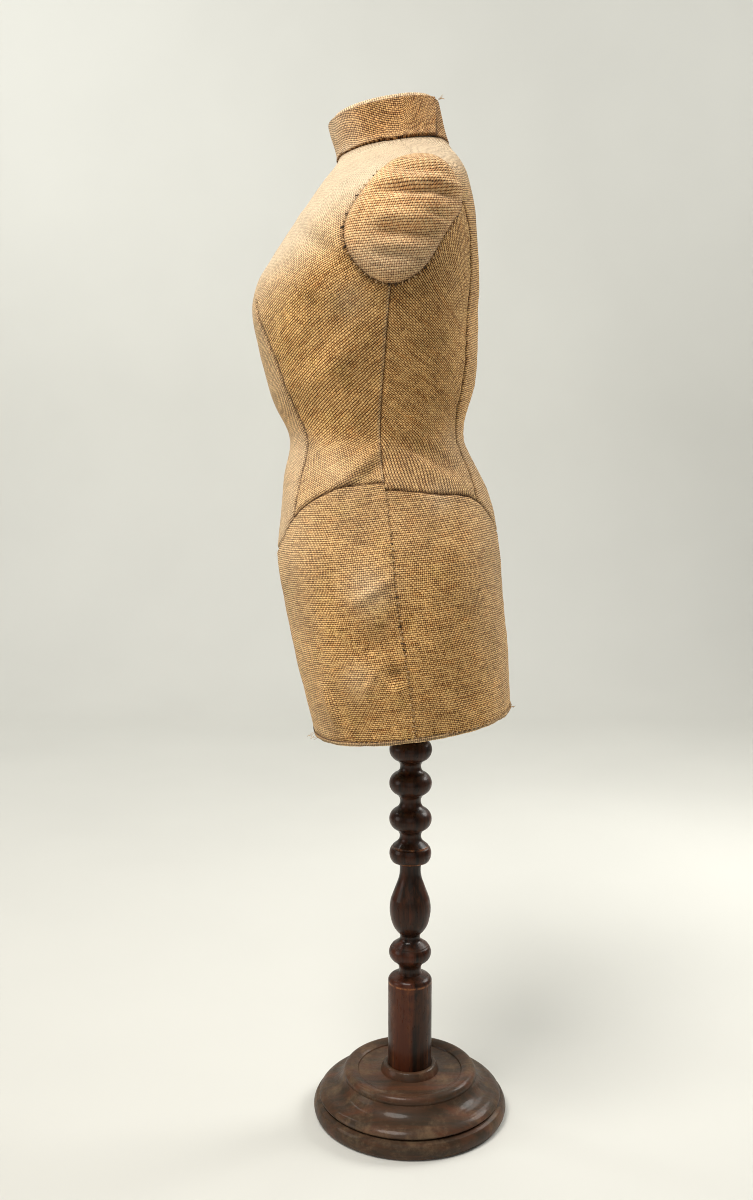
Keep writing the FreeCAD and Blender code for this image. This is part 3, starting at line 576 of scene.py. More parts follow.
class Cut:
    """The grid cut along every line where the piece changes. Points past the grid's own are where
    the cuts cross its edges, and where three pieces meet."""

    def __init__(self, grid):
        self.grid = grid
        self.points = [Vector(p) for p in grid.points.reshape(-1, 3)]
        self.normals = [Vector(n) for n in grid.normals.reshape(-1, 3)]
        self.thread = {}
        self.faces = {}
        self.pairs = {}
        self.crossed = {}
        flat = grid.label.reshape(-1)
        for j in range(len(grid.rows) - 1):
            for i in range(AROUND):
                corners = [(j, i), (j, i + 1), (j + 1, i + 1), (j + 1, i)]
                numbers = [grid.number(*corner) for corner in corners]
                kinds = [flat[number] for number in numbers]
                if kinds[0] == kinds[1] == kinds[2] == kinds[3]:
                    self.faces.setdefault(kinds[0], []).append(numbers)
                else:
                    self.cut_face(corners, numbers, kinds)

    def crossing(self, first, second, number0, number1, kind0, kind1):
        key = (min(number0, number1), max(number0, number1))
        if key not in self.crossed:
            share = crossing_share(self.grid, first, second)
            index = len(self.points)
            self.points.append(self.points[number0].lerp(self.points[number1], share))
            self.normals.append(self.normals[number0].lerp(self.normals[number1], share).normalized())
            self.pairs[index] = {kind0, kind1}
            for number, kind, way in ((number0, kind0, share), (number1, kind1, share - 1)):
                j, i = divmod(number, AROUND)
                gap = (self.points[number1] - self.points[number0]).length * way
                u, v = self.grid.across[j, i], self.grid.up[j, i]
                level = first[0] == second[0]
                self.thread[(index, kind % DART_PART)] = (u + gap, v) if level else (u, v + gap)
            self.crossed[key] = index
        return self.crossed[key]

    def cut_face(self, corners, numbers, kinds):
        loop, cuts = [], []
        for k in range(4):
            after = (k + 1) % 4
            loop.append(numbers[k])
            if kinds[k] != kinds[after]:
                a, b = (after, k) if k in (2, 3) else (k, after)
                cuts.append(len(loop))
                loop.append(self.crossing(corners[a], corners[b], numbers[a], numbers[b], kinds[a], kinds[b]))
        centre = None
        if len(cuts) > 2:
            centre = len(self.points)
            around = [loop[position] for position in cuts]
            self.points.append(sum((self.points[n] for n in around), Vector()) / len(around))
            self.normals.append(sum((self.normals[n] for n in around), Vector()).normalized())
            self.pairs[centre] = set(kinds)
        for position, cut in enumerate(cuts):
            stop = cuts[(position + 1) % len(cuts)]
            span = (stop - cut) % len(loop) or len(loop)
            ring = [loop[(cut + step) % len(loop)] for step in range(span + 1)]
            kind = kinds[numbers.index(ring[1])]
            if centre is not None:
                ring.append(centre)
                known = [self.thread_of(n, kind) for n in ring[:-1]]
                self.thread.setdefault((centre, kind % DART_PART), tuple(np.mean(known, axis=0)))
            self.faces.setdefault(kind, []).append(ring)

    def thread_of(self, number, kind):
        if number < len(self.grid.rows) * AROUND:
            j, i = divmod(number, AROUND)
            return self.grid.across[j, i], self.grid.up[j, i]
        return self.thread[(number, kind % DART_PART)]


def nearest_tree(points):
    tree = KDTree(len(points))
    for index, point in enumerate(points):
        tree.insert(point, index)
    tree.balance()
    return tree


def distances(points, line):
    """Distance of each point from the nearest point of a line."""
    tree = nearest_tree(line)
    return np.array([tree.find(point)[2] for point in points])


def noise_values(points, scale, seed):
    shift = Vector((seed * 7.3, seed * 3.1, seed * 5.7))
    return np.array([noise.noise(point * scale + shift) for point in points])


def is_panel(kind):
    return kind >= 0 and kind % DART_PART < len(PANELS)


def is_cap(kind):
    return kind >= 0 and SKIN[kind % DART_PART] in CAPS


# Broad creases and dents of the cover, as seen from the side: both ends (y, z), half width and height.
FOLDS = (
    ((-0.060, 0.562), (-0.022, 0.593), 0.0065, 0.0037), ((-0.058, 0.552), (-0.024, 0.580), 0.0045, -0.0028),
    ((-0.0150, 0.598), (0.034, 0.5735), 0.0050, -0.0040), ((-0.0150, 0.585), (0.036, 0.560), 0.0070, 0.0037),
    ((-0.030, 0.477), (-0.036, 0.486), 0.0170, 0.0047), ((-0.026, 0.441), (-0.034, 0.446), 0.0140, -0.0047),
    ((-0.036, 0.414), (-0.030, 0.411), 0.0120, 0.0031), ((-0.0139, 0.4045), (-0.0139, 0.4045), 0.0060, 0.0050),
    ((-0.0139, 0.4175), (-0.0139, 0.4175), 0.0060, -0.0031), ((-0.071, 0.402), (-0.061, 0.370), 0.0034, 0.0043),
    ((-0.063, 0.402), (-0.053, 0.372), 0.0045, -0.0028), ((0.020, 0.395), (0.050, 0.372), 0.0090, 0.0028),
    ((0.030, 0.470), (0.052, 0.440), 0.0120, -0.0025), ((-0.085, 0.660), (-0.055, 0.690), 0.0110, -0.0028),
    ((-0.080, 0.640), (-0.045, 0.668), 0.0100, 0.0031), ((-0.050, 0.735), (-0.085, 0.770), 0.0070, 0.0025),
    ((-0.052, 0.722), (-0.088, 0.752), 0.0060, -0.0025), ((-0.012, 0.640), (0.028, 0.618), 0.0085, -0.0025))

# Paler and darker patches of painted light and painted shade on the cover, as seen from the side: middle (y,
# z), radius and strength.
LIGHT_AND_SHADE_PATCHES = ((-0.036, 0.482, 0.018, 0.40), (-0.045, 0.412, 0.014, 0.25), (-0.050, 0.700, 0.013, 0.15),
           (0.020, 0.553, 0.012, 0.25), (-0.066, 0.575, 0.020, 0.20), (-0.029, 0.446, 0.014, -0.30),
           (-0.004, 0.590, 0.013, -0.30), (0.020, 0.580, 0.013, -0.30), (-0.0139, 0.4175, 0.006, -0.45),
           (-0.045, 0.600, 0.018, -0.18), (0.000, 0.690, 0.030, -0.12), (-0.0099, 0.6798, 0.0012, -1.00))


def painted_patch_tone(points, sign):
    """How much painted light (sign 1) or painted shade (sign -1) the patches put on each point."""
    tone = np.zeros(len(points))
    for y, z, radius, strength in LIGHT_AND_SHADE_PATCHES:
        if strength * sign > 0:
            gap = np.hypot(points[:, 1] - y, points[:, 2] - z) / radius
            tone += abs(strength) * bell(gap, 1) * (np.abs(points[:, 0]) > 0.03)
    return tone


def fold_lift(points):
    """How far the folds move each point out, on both sides of the form."""
    lift = np.zeros(len(points))
    for start, end, width, height in FOLDS:
        start, way = np.array(start), np.array(end) - np.array(start)
        length = max(float(way @ way), 1e-9)
        gap = points[:, 1:] - start
        share = np.clip(gap @ way / length, 0, 1)
        gap = np.linalg.norm(gap - share[:, None] * way, axis=1) / width
        ends = 0.45 + 0.55 * np.sin(math.pi * share) if length > 1e-6 else 1.0
        lift += height * ends * bell(gap, 1) * np.clip((np.abs(points[:, 0]) - 0.03) / 0.02, 0, 1)
    return lift


# Along a seam: how far the cloth moves out, how far from the seam that is, and over what width.
SEAM_SHAPE = ((-1.5 * MM, 0, 0.9 * MM), (-0.4 * MM, 0, 4 * MM), (0.45 * MM, 3.5 * MM, 2.2 * MM))
# Unevenness of the padding: its height, how fine it is and its seed.
PADDING = ((0.5 * MM, 38, 7), (1.1 * MM, 22, 3), (0.45 * MM, 60, 4))
PUCKER = 0.95 * MM
ARM_GROOVE = 0.6 * MM
COVER_PROUD = 0.5 * MM


def side_weight(height):
    """How deep a side seam lies at a height, where the other seams have 1."""
    if height > SHOULDER_SEAM:
        return 0.15
    return 0.5 if height > YOKE_SEAM else 0.14


class Relief:
    """Where every point of the cut surface ends up once seams, puckers and padding have moved it,
    and how much painted shade darkens it: along the seams, round the arm caps, under the neck band and in the
    dark patches."""

    def __init__(self, cut):
        points = cut.points
        sewn, weight, band = [], [], []
        self.side_line, self.arm_line = [], []
        for index, kinds in cut.pairs.items():
            names = {SKIN[kind % DART_PART] for kind in kinds if kind >= 0}
            height = points[index].z
            if all(is_panel(kind) for kind in kinds):
                if len(names) == 1 and not DART_FOOT < height < DART_TIP - 1 * MM:
                    continue
                sewn.append(points[index])
                at_side = len(names) > 1 and len(names & {"bodice_front", "skirt_front"}) == 1
                weight.append(side_weight(height) if at_side else 1.0)
                if at_side:
                    self.side_line.append(index)
            elif any(is_cap(kind) for kind in kinds):
                self.arm_line.append(index)
            else:
                band.append(points[index])
        tree = nearest_tree(sewn)
        found = [tree.find(point) for point in points]
        near = [place for place, _, _ in found]
        share = np.array([weight[number] for _, number, _ in found])
        gap = np.array([distance for _, _, distance in found])
        self.side_gap = distances(points, [points[index] for index in self.side_line])
        self.arm_gap = distances(points, [points[index] for index in self.arm_line])
        lift = share * sum(height * bell(gap - middle, width) for height, middle, width in SEAM_SHAPE)
        lift += fold_lift(np.array(points))
        lift += sum(height * noise_values(points, scale, seed) for height, scale, seed in PADDING)
        pucker = noise_values(near, 130, 1) + 0.5 * noise_values(near, 300, 2)
        lift += PUCKER * pucker * decay(gap, 6 * MM)
        lift -= ARM_GROOVE * bell(self.arm_gap, 2 * MM)
        lowest = np.maximum(-1.35 * MM, -2.6 * MM + 1.2 * MM * decay(gap, 4 * MM))
        self.lift = np.maximum(lift + COVER_PROUD, lowest)
        self.points = [point + normal * float(move)
                       for point, normal, move in zip(points, cut.normals, self.lift)]
        # Painted shade: along the seams, round the arm caps, under the neck band, and in the dark patches.
        self.seam = np.clip(1.1 * share * bell(gap, 0.85 * MM) + 0.25 * share * decay(gap, 3 * MM)
                            + 0.8 * bell(self.arm_gap, 2 * MM)
                            + 0.6 * decay(distances(points, band), 1.8 * MM)
                            + painted_patch_tone(np.array(points), -1), 0, 1)


# ---------------------------------------------------------------- pieces


def new_object(name, points, faces, material, slot):
    mesh = bpy.data.meshes.new(name)
    mesh.from_pydata([tuple(p) for p in points], [], faces)
    mesh.validate()
    mesh.polygons.foreach_set("use_smooth", [True] * len(mesh.polygons))
    mesh.materials.append(material)
    piece = bpy.data.objects.new(name, mesh)
    bpy.context.collection.objects.link(piece)
    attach(piece, "form")
    return piece


def put_attribute(piece, name, kind, values):
    attribute = piece.data.attributes.new(name, kind, "POINT")
    key = "vector" if kind == "FLOAT_VECTOR" else "value"
    attribute.data.foreach_set(key, np.asarray(values, dtype=np.float32).reshape(-1))


def new_cloth(name, points, faces, material, slot, thread, seam):
    """A new piece of cloth, with its thread coordinates and the painted shade along its seams and edges."""
    piece = new_object(name, points, faces, material, slot)
    put_attribute(piece, "thread", "FLOAT_VECTOR", thread)
    put_attribute(piece, "seam", "FLOAT", seam)
    return piece


def quads(rows, columns, start=0):
    """Faces between rows of points, where each row closes on itself."""
    faces = []
    for row in range(rows - 1):
        low, high = start + row * columns, start + (row + 1) * columns
        for i in range(columns):
            after = (i + 1) % columns
            faces.append([low + i, low + after, high + after, high + i])
    return faces


def flat_size(points):
    """Width and length of the box round flat points."""
    points = np.array(points)
    width, length = (points.max(axis=0) - points.min(axis=0))[:2]
    return float(width), float(length)


def turned_thread(pair, degrees):
    """Thread coordinates of a point of the flat cloth, for a weft laid at an angle across it."""
    angle = math.radians(degrees)
    u, v = pair
    return (u * math.cos(angle) + v * math.sin(angle), v * math.cos(angle) - u * math.sin(angle), 0)


# How much painted light brightens the front between its darts, and over which height that fades out.
DART_PAINTED_LIGHT = 0.2
DART_PAINTED_LIGHT_FADES = 0.02
# Along the side seams: the front's turning, its step outwards, the skirt's share of it, the step of
# the back, and how far the steps reach.
TURNED_IN = 2.6 * MM
FRONT_LAP = 0.9 * MM
SKIRT_LAP = 0.5
BACK_STEP = -0.5 * MM
LAP_REACH = 2.6 * MM
# Heights between which the painted light grows to its full strength.
PAINTED_LIGHT_FROM = 0.64
PAINTED_LIGHT_ABOVE = 0.76
# Its share below them, how much it whitens what faces up and to the front, and the painted sheen on what faces
# to the front or back.
PAINTED_LIGHT_BELOW = 0.22
PAINTED_LIGHT_UPWARDS = 1.45
PAINTED_LIGHT_FORWARDS = 0.30
PAINTED_SHEEN_FRONT_BACK = 0.6
# The way the weft runs on each panel, in degrees from the level, rising to the wearer's left.
GRAIN = {"bodice_front": 30, "bodice_side_back_left": -55, "bodice_side_back_right": 55,
         "bodice_centre_back_left": 4, "bodice_centre_back_right": -4, "skirt_front": 0,
         "skirt_back_left": -3, "skirt_back_right": 3}


def gather(cut, kinds):
    """The source numbers and the faces of one piece of the cut surface."""
    faces = [face for kind in kinds for face in cut.faces.get(kind, [])]
    numbers = sorted({number for face in faces for number in face})
    place = {number: index for index, number in enumerate(numbers)}
    return numbers, [[place[number] for number in face] for face in faces]


def between_darts(point):
    """1 on the front's cloth between its two darts, 0 beyond them and well above them."""
    return 0 if past_dart(point) else limited((DART_TIP - point.z) / DART_PAINTED_LIGHT_FADES)


def turn_in(cut, relief, numbers, points, faces):
    """Fold a front panel's edges inwards along the side seams. Returns the points' source numbers."""
    sides = set(relief.side_line)
    used = dict.fromkeys((a, b) for face in faces for a, b in zip(face, face[1:] + face[:1]))
    edges = [(a, b) for a, b in used if (b, a) not in used and numbers[a] in sides and numbers[b] in sides]
    numbers, inner = list(numbers), {}
    for edge in edges:
        for end in edge:
            if end not in inner:
                inner[end] = len(points)
                points.append(points[end] - cut.normals[numbers[end]] * TURNED_IN)
                numbers.append(numbers[end])
    faces += [[b, a, inner[a], inner[b]] for a, b in edges]
    return numbers


def lapped(relief, cut, number, name):
    """A panel's point, with the front's edge folded over the back's along the side seams."""
    step = FRONT_LAP if "front" in name else BACK_STEP
    if "skirt" in name:
        step *= SKIRT_LAP
    point = relief.points[number]
    if point.z > SHOULDER_SEAM:
        return point
    return point + cut.normals[number] * float(step * bell(relief.side_gap[number], LAP_REACH))


def put_painted_light(piece, strength, least=0.0, normals=None, extra=0.0):
    """Painted light on the cloth: palest where it faces up, and on the upper half of the form, with a painted
    sheen where it faces to the front or back.
    """
    if normals is None:
        normals = [vertex.normal.copy() for vertex in piece.data.vertices]
    values = []
    for vertex, normal in zip(piece.data.vertices, normals):
        high = limited((vertex.co.z - PAINTED_LIGHT_FROM) / (PAINTED_LIGHT_ABOVE - PAINTED_LIGHT_FROM))
        share = PAINTED_LIGHT_BELOW + (1 - PAINTED_LIGHT_BELOW) * high
        value = share * (PAINTED_LIGHT_UPWARDS * normal.z - PAINTED_LIGHT_FORWARDS * normal.y)
        value += PAINTED_SHEEN_FRONT_BACK * max(abs(normal.y) - 0.55, 0)
        values.append(limited(strength * value, least))
    put_attribute(piece, "painted_light", "FLOAT", np.clip(np.array(values) + extra, 0, 1))


def add_panels(cut, relief, materials):
    for index, name in enumerate(PANELS):
        numbers, faces = gather(cut, (index, index + DART_PART))
        points = [lapped(relief, cut, number, name) for number in numbers]
        if "front" in name:
            numbers = turn_in(cut, relief, numbers, points, faces)
        flat = [cut.thread_of(number, index) for number in numbers]
        # The front's folded lip along the side seams gets less painted shade and a painted highlight.
        edge = bell(relief.side_gap[numbers], 1.6 * MM) * (name == "bodice_front")
        piece = new_cloth(name + "_burlap", points, faces, materials["burlap"], "burlap",
                          [turned_thread(pair, GRAIN[name]) for pair in flat],
                          relief.seam[numbers] * (1 - 0.85 * edge))
        pale = 0.25 * edge
        if name == "bodice_front":
            pale += DART_PAINTED_LIGHT * np.array([between_darts(point) for point in points])
        pale += painted_patch_tone(np.array(points), 1)
        # Painted light from each point's facing, the lip, the patches, and between the darts.
        put_painted_light(piece, 1.0, 0.0, [cut.normals[number] for number in numbers], pale)
        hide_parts(name)
        declare_sheet(piece, flat)


# Least share of its box that a flat sheet fills, and the flat cloth's share of the area of the piece,
# whose relief adds the rest.
LEAST_FILL = 0.31


def declare_sheet(piece, flat):
    """Work out how large the flat cut was: its box along the threads, and its own area, kept within a share of
    that box. Nothing is done with them.
    """
    width, length = flat_size(flat)
    area = sum(polygon.area for polygon in piece.data.polygons)
    area = limited(area, LEAST_FILL * width * length, width * length)


# An arm cap's height over the form at its edge and inside it, and how quickly it rises between them.
CAP_EDGE = 1.2 * MM
CAP_PADDING = 7.8 * MM
CAP_ROUNDING = 4.6 * MM
CAP_CRUMPLE = 1.3 * MM
# Height of the caps' band of painted highlight.
CAP_HIGHLIGHT_HEIGHT = 0.728
# The rim's turning, step by step: how far outwards and how far down, in millimetres.
RIM_STEPS = ((0.9, 0.5), (0.2, 1.6), (-1.2, 0.6))
# Creases across an arm cap: height, middle along Y, slope, half length, width and depth.
CAP_CREASES = ((0.7745, 0.003, 0.03, 0.030, 0.0034, 0.0054), (0.7470, -0.008, -0.03, 0.021, 0.0048, 0.0050),
               (0.7590, 0.018, 0.02, 0.014, 0.0028, 0.0022), (0.7310, -0.010, -0.04, 0.020, 0.0032, 0.0024),
               (0.7880, -0.004, -0.06, 0.018, 0.0030, 0.0018))


def cap_rise(base, gap):
    """How far an arm cap stands off the form: padded in the middle, creased, and low at its edge."""
    inner = 1 - decay(gap, 5 * MM)
    crumple = noise.noise(Vector((base.x * 20, base.y * 30, base.z * 110)) + Vector((3, 1, 4)))
    rise = CAP_EDGE + CAP_PADDING * (1 - decay(gap, CAP_ROUNDING))
    rise += CAP_CRUMPLE * crumple * inner
    for height, middle, slope, half, width, depth in CAP_CREASES:
        line = height + slope * (base.y - middle) + 2 * MM * noise.noise(Vector((base.y * 60, height, 0)))
        ends = bell(base.y - middle, half, 4)
        below = (base.z - line) / width
        rise -= depth * ends * inner * bell(below, 1)
        rise += 0.45 * depth * ends * inner * bell(below - 1.9, 1)
    return float(rise)


def add_caps(cut, relief, materials):
    for name in CAPS:
        index = SKIN.index(name)
        numbers, faces = gather(cut, (index,))
        points = []
        for number in numbers:
            base = cut.points[number]
            points.append(base + cut.normals[number] * cap_rise(base, relief.arm_gap[number]))
        piece = new_object(name + "_burlap", points, faces, materials["burlap_cap"], "burlap")
        flat = [cut.thread_of(number, index) for number in numbers]
        middle = (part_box(name)[0][1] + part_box(name)[1][1]) / 2
        seam, painted_highlight = [], []
        for number in numbers:
            gap, base = relief.arm_gap[number], cut.points[number]
            # Painted shade at the cap's edge, deeper at its back, and a band of painted highlight low on the
            # cap.
            behind = limited((base.y - middle) / (20 * MM))
            seam.append(0.75 * decay(gap, 1.5 * MM) + 0.4 * behind * decay(gap, 5 * MM))
            painted_highlight.append(0.22 * bell(base.z - CAP_HIGHLIGHT_HEIGHT, 13 * MM))
        turn_rim(piece)
        extra = len(piece.data.vertices) - len(numbers)
        put_attribute(piece, "thread", "FLOAT_VECTOR",
                      [turned_thread(pair, 0) for pair in flat] + [(0, 0, 0)] * extra)
        # The turned-under rim is painted in shade; painted light lies over the whole cap.
        put_attribute(piece, "seam", "FLOAT", seam + [0.9] * extra)
        put_painted_light(piece, 0.25, 0.12, None, np.array(painted_highlight + [0] * extra))
        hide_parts(name)
        declare_sheet(piece, flat)


def turn_rim(piece):
    """Fold the open edge of an arm cap down towards the form."""
    outside = Vector((math.copysign(1, piece.data.vertices[0].co.x), 0, 0))
    mesh = bmesh.new()
    mesh.from_mesh(piece.data)
    mesh.normal_update()
    for outwards, down in RIM_STEPS:
        rim = [edge for edge in mesh.edges if edge.is_boundary]
        moves = {}
        for edge in rim:
            face = edge.link_faces[0]
            away = (edge.verts[0].co + edge.verts[1].co) / 2 - face.calc_center_median()
            away = (away - face.normal * away.dot(face.normal)).normalized()
            for vertex in edge.verts:
                moves.setdefault(vertex, []).append(away)
        grown = bmesh.ops.extrude_edge_only(mesh, edges=rim)["geom"]
        old = list(moves)
        tree = nearest_tree([vertex.co for vertex in old])
        for vertex in grown:
            if isinstance(vertex, bmesh.types.BMVert):
                away = sum(moves[old[tree.find(vertex.co)[1]]], Vector()).normalized()
                vertex.co += away * outwards * MM - outside * down * MM
        mesh.normal_update()
    mesh.to_mesh(piece.data)
    mesh.free()
    piece.data.polygons.foreach_set("use_smooth", [True] * len(piece.data.polygons))


# Where the neck band laps over itself: the angle of the lap's edge below and above, and of its end.
LAP_FOOT = math.radians(45)
LAP_TOP = math.radians(56)
LAP_BACK = math.radians(100)
BAND_RADIUS = 43
# Share of the way up the band, and how far it stands off the form there in millimetres.
BAND_PROFILE = ((0.0, -0.4), (0.0, 0.9), (0.012, 1.35), (0.05, 1.5),
                *((share, 1.45) for share in np.linspace(0.1, 0.93, 20)),
                (0.965, 1.5), (0.99, 1.35), (1.0, 0.9), (1.0, -0.2), (1.0, -1.4))
NECK_CAP_RINGS = 48
NECK_CAP_DOME = 5.6
HEM_SIDES = 12
HEM_RADIUS = 2.3 * MM
COVER_RINGS = 34
COVER_MARGIN = 1 * MM


def lap_step(angle, share):
    """How far the band's outer layer stands off here, in millimetres, and how much painted shade darkens the
    fold and the strip under the lap.
    """
    angle = (angle + math.pi) % (2 * math.pi) - math.pi
    past = (angle - LAP_FOOT - (LAP_TOP - LAP_FOOT) * share) * BAND_RADIUS
    if past < 0:
        return 1.0 + 0.5 * bell(past + 1.2, 1.2), 0.8 * bell(past, 0.7)
    if angle < LAP_BACK:
        return -0.3, max(bell(past, 2.5), 0.5 * decay(past, 9))
    return 0.2, 0.0


def add_neck_band(grid, materials):
    """The strip round the neck, proud of the shoulders, with rounded edges above and below."""
    bottoms = np.argmax(grid.label == SKIN.index("neck_band"), axis=0).astype(float)
    for _ in range(6):
        bottoms = (np.roll(bottoms, 1) + 2 * bottoms + np.roll(bottoms, -1)) / 4
    top = len(grid.rows) - 1
    points, thread, seam = [], [], []
    for share, proud in BAND_PROFILE:
        for i in range(AROUND):
            at = bottoms[i] + (top - bottoms[i]) * share
            low = min(int(at), top - 1)
            way = at - low
            base = grid.points[low, i] * (1 - way) + grid.points[low + 1, i] * way
            normal = Vector(grid.normals[low, i])
            step, crease = lap_step(grid.angles[i], share)
            point = Vector(base) + normal * (proud + step * limited(proud)) * MM
            wave = noise.noise(point * 90) * 0.5 * MM
            points.append(point + normal * wave * math.sin(math.pi * share))
            thread.append((grid.across[low, i], grid.up[low, i] + way * CELL, 0))
            # Painted shade near the band's top and bottom edges, at the lap, and on the parts turned under.
            edge = min(share, 1 - share) * (top - bottoms[i]) * CELL
            seam.append(max(0.6 * decay(edge, 1.2 * MM), crease) if proud > 0 else 0.8)
    piece = new_cloth("neck_band_burlap", points, quads(len(BAND_PROFILE), AROUND), materials["burlap_band"],
                      "burlap_band", thread, seam)
    # Painted light where the band faces the front.
    painted_light_front = [0.8 * max(-vertex.normal.y - 0.3, 0) for vertex in piece.data.vertices]
    put_painted_light(piece, 0.15, 0.0, None, np.array(painted_light_front))
    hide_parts("neck_band")


def add_neck_cap(grid, materials):
    """A domed disc of cloth, tucked inside the top of the band."""
    rim = grid.points[-1]
    centre = Vector(rim.mean(axis=0))
    plane = Vector((0, -NECK_SLOPE, 1)).normalized()
    points, thread, seam = [centre + plane * NECK_CAP_DOME * MM], [(0, 0, 0)], [0]
    for ring in range(1, NECK_CAP_RINGS + 1):
        share = 1 - (1 - ring / NECK_CAP_RINGS) ** 1.7
        for i in range(0, AROUND, 2):
            spoke = Vector(rim[i]) - centre
            flat = centre + spoke * (1 - 1.2 * MM / spoke.length) * share
            dome = NECK_CAP_DOME * (1 - 0.2 * share ** 2) * (1 - share ** 34)
            ripple = noise.noise(flat * 120) * 0.5 * (1 - share ** 4)
            points.append(flat + plane * (dome + ripple) * MM)
            thread.append((flat.x, flat.y, 0))
            # Painted shade at the cap's rim, inside the band.
            seam.append(0.7 * max(0, share - 0.985) / 0.015)
    count = AROUND // 2
    faces = [[0, 1 + i, 1 + (i + 1) % count] for i in range(count)]
    faces += [face[:1] + face[:0:-1] for face in quads(NECK_CAP_RINGS, count, 1)]
    piece = new_cloth("neck_cap_burlap", points, faces, materials["burlap"], "burlap", thread, seam)
    # Painted light over the cap, which faces up.
    put_painted_light(piece, 0.7, 0.6)
    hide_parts("neck_cap")


def add_hem(grid, materials):
    """The rolled edge of the skirt: a corded tube just under the hem."""
    rim = [Vector(point) for point in grid.points[0]]
    plane = Vector((0, -HEM_SLOPE, 1)).normalized()
    points, thread, seam = [], [], []
    along = 0.0
    for i, base in enumerate(rim):
        outwards = Vector(grid.normals[0, i])
        outwards = (outwards - plane * outwards.dot(plane)).normalized()
        radius = HEM_RADIUS * (1 + 0.22 * noise.noise(base * 70) + 0.1 * noise.noise(base * 240))
        for k in range(HEM_SIDES):
            turn = 2 * math.pi * k / HEM_SIDES
            points.append(base + outwards * (math.cos(turn) * radius - 0.7 * MM)
                          + plane * (math.sin(turn) * radius - 0.9 * MM))
            thread.append((along, turn * 2.1 * MM, 0))
            # Painted shade along the roll's upper outer side, under its join with the skirt.
            seam.append(0.8 if 0.5 < turn < 1.2 else 0.0)
        along += (rim[(i + 1) % AROUND] - base).length
    faces = [[number % len(points) for number in face] for face in quads(AROUND + 1, HEM_SIDES)]
    piece = new_cloth("hem_roll_burlap", points, faces, materials["burlap"], "burlap_band", thread, seam)
    # Painted light over the roll.
    put_painted_light(piece, 0.3, 0.3)
    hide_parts("hem_cord")
    return piece


def add_bottom_cover(grid, materials):
    """The disc of cloth tacked under the hip board: it hangs a little between the tacks."""
    plane = Vector((0, -HEM_SLOPE, 1)).normalized()
    cover = [vertex.co for vertex in NODES["bottom_cover"].data.vertices]
    hole = min(Vector((point.x, point.y)).length for point in cover)
    low = min((point - Vector((0, 0, HEM_HEIGHT))).dot(plane) for point in cover)
    tacks = nearest_tree([vertex.co for vertex in NODES["cover_tacks"].data.vertices])
    count = AROUND // 2
    points = []
    for ring in range(COVER_RINGS + 1):
        share = ring / COVER_RINGS
        for i in range(count):
            rim = Vector(grid.points[0, 2 * i])
            rim -= Vector((rim.x, rim.y, 0)).normalized() * COVER_MARGIN
            inner = Vector((rim.x, rim.y, 0)).normalized() * (hole - 0.5 * MM)
            inner.z = HEM_HEIGHT + HEM_SLOPE * inner.y
            flat = inner.lerp(rim, share)
            gap = tacks.find(flat + plane * low)[2]
            slack = 1 - bell(gap, 11 * MM)
            sag = 1.4 * slack * math.sin(math.pi * min(share * 1.1, 1)) ** 0.5
            ripple = 0.5 * noise.noise(flat * 60) + 0.9 * noise.noise(flat * 22)
            pull = 0.5 * decay(gap, 7 * MM) * math.cos(36 * math.atan2(flat.y, flat.x))
            points.append(flat + plane * (low - (sag + slack * ripple + pull) * MM))
    piece = new_cloth("bottom_cover_lining", points, quads(COVER_RINGS + 1, count), materials["lining"],
                      "lining", [(point.x, point.y, 0) for point in points], [0] * len(points))
    put_attribute(piece, "painted_light", "FLOAT", [0] * len(points))
    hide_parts("bottom_cover")


PAD_CELL = 1 * MM
PAD_SHARE = 0.93


def add_arm_pads(materials):
    """The wadding under each arm cap: the CAD pad, rounded and a little smaller than its cap."""
    for side in ("left", "right"):
        name = "arm_pad_" + side
        mesh = NODES[name].data.copy()
        piece = bpy.data.objects.new(name + "_wadding", mesh)
        bpy.context.collection.objects.link(piece)
        remesh = piece.modifiers.new("even", "REMESH")
        remesh.mode = "VOXEL"
        remesh.voxel_size = PAD_CELL
        apply_modifiers(piece)
        middle = sum((vertex.co for vertex in piece.data.vertices), Vector()) / len(piece.data.vertices)
        for vertex in piece.data.vertices:
            vertex.co.y = middle.y + (vertex.co.y - middle.y) * PAD_SHARE
            vertex.co.z = middle.z + (vertex.co.z - middle.z) * PAD_SHARE
        piece.data.polygons.foreach_set("use_smooth", [True] * len(piece.data.polygons))
        piece.data.materials.clear()
        piece.data.materials.append(materials["wadding"])
        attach(piece, "form")
        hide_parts(name)


def apply_modifiers(piece):
    """Turn a piece's evaluated shape into its mesh."""
    graph = bpy.context.evaluated_depsgraph_get()
    shape = bpy.data.meshes.new_from_object(piece.evaluated_get(graph))
    piece.modifiers.clear()
    piece.data = shape


# ---------------------------------------------------------------- stitches and loose threads


def tube(points, faces, path, radius, sides=6):
    """Add a thin closed tube along a path to lists of points and faces."""
    start = len(points)
    for k, place in enumerate(path):
        way = (path[min(k + 1, len(path) - 1)] - path[max(k - 1, 0)]).normalized()
        across = way.orthogonal().normalized()
        other = way.cross(across)
        taper = 0.45 if k in (0, len(path) - 1) else 1.0
        for side in range(sides):
            turn = 2 * math.pi * side / sides
            points.append(place + (across * math.cos(turn) + other * math.sin(turn)) * radius * taper)
    faces += quads(len(path), sides, start)
    faces.append([start + side for side in reversed(range(sides))])
    faces.append([start + (len(path) - 1) * sides + side for side in range(sides)])


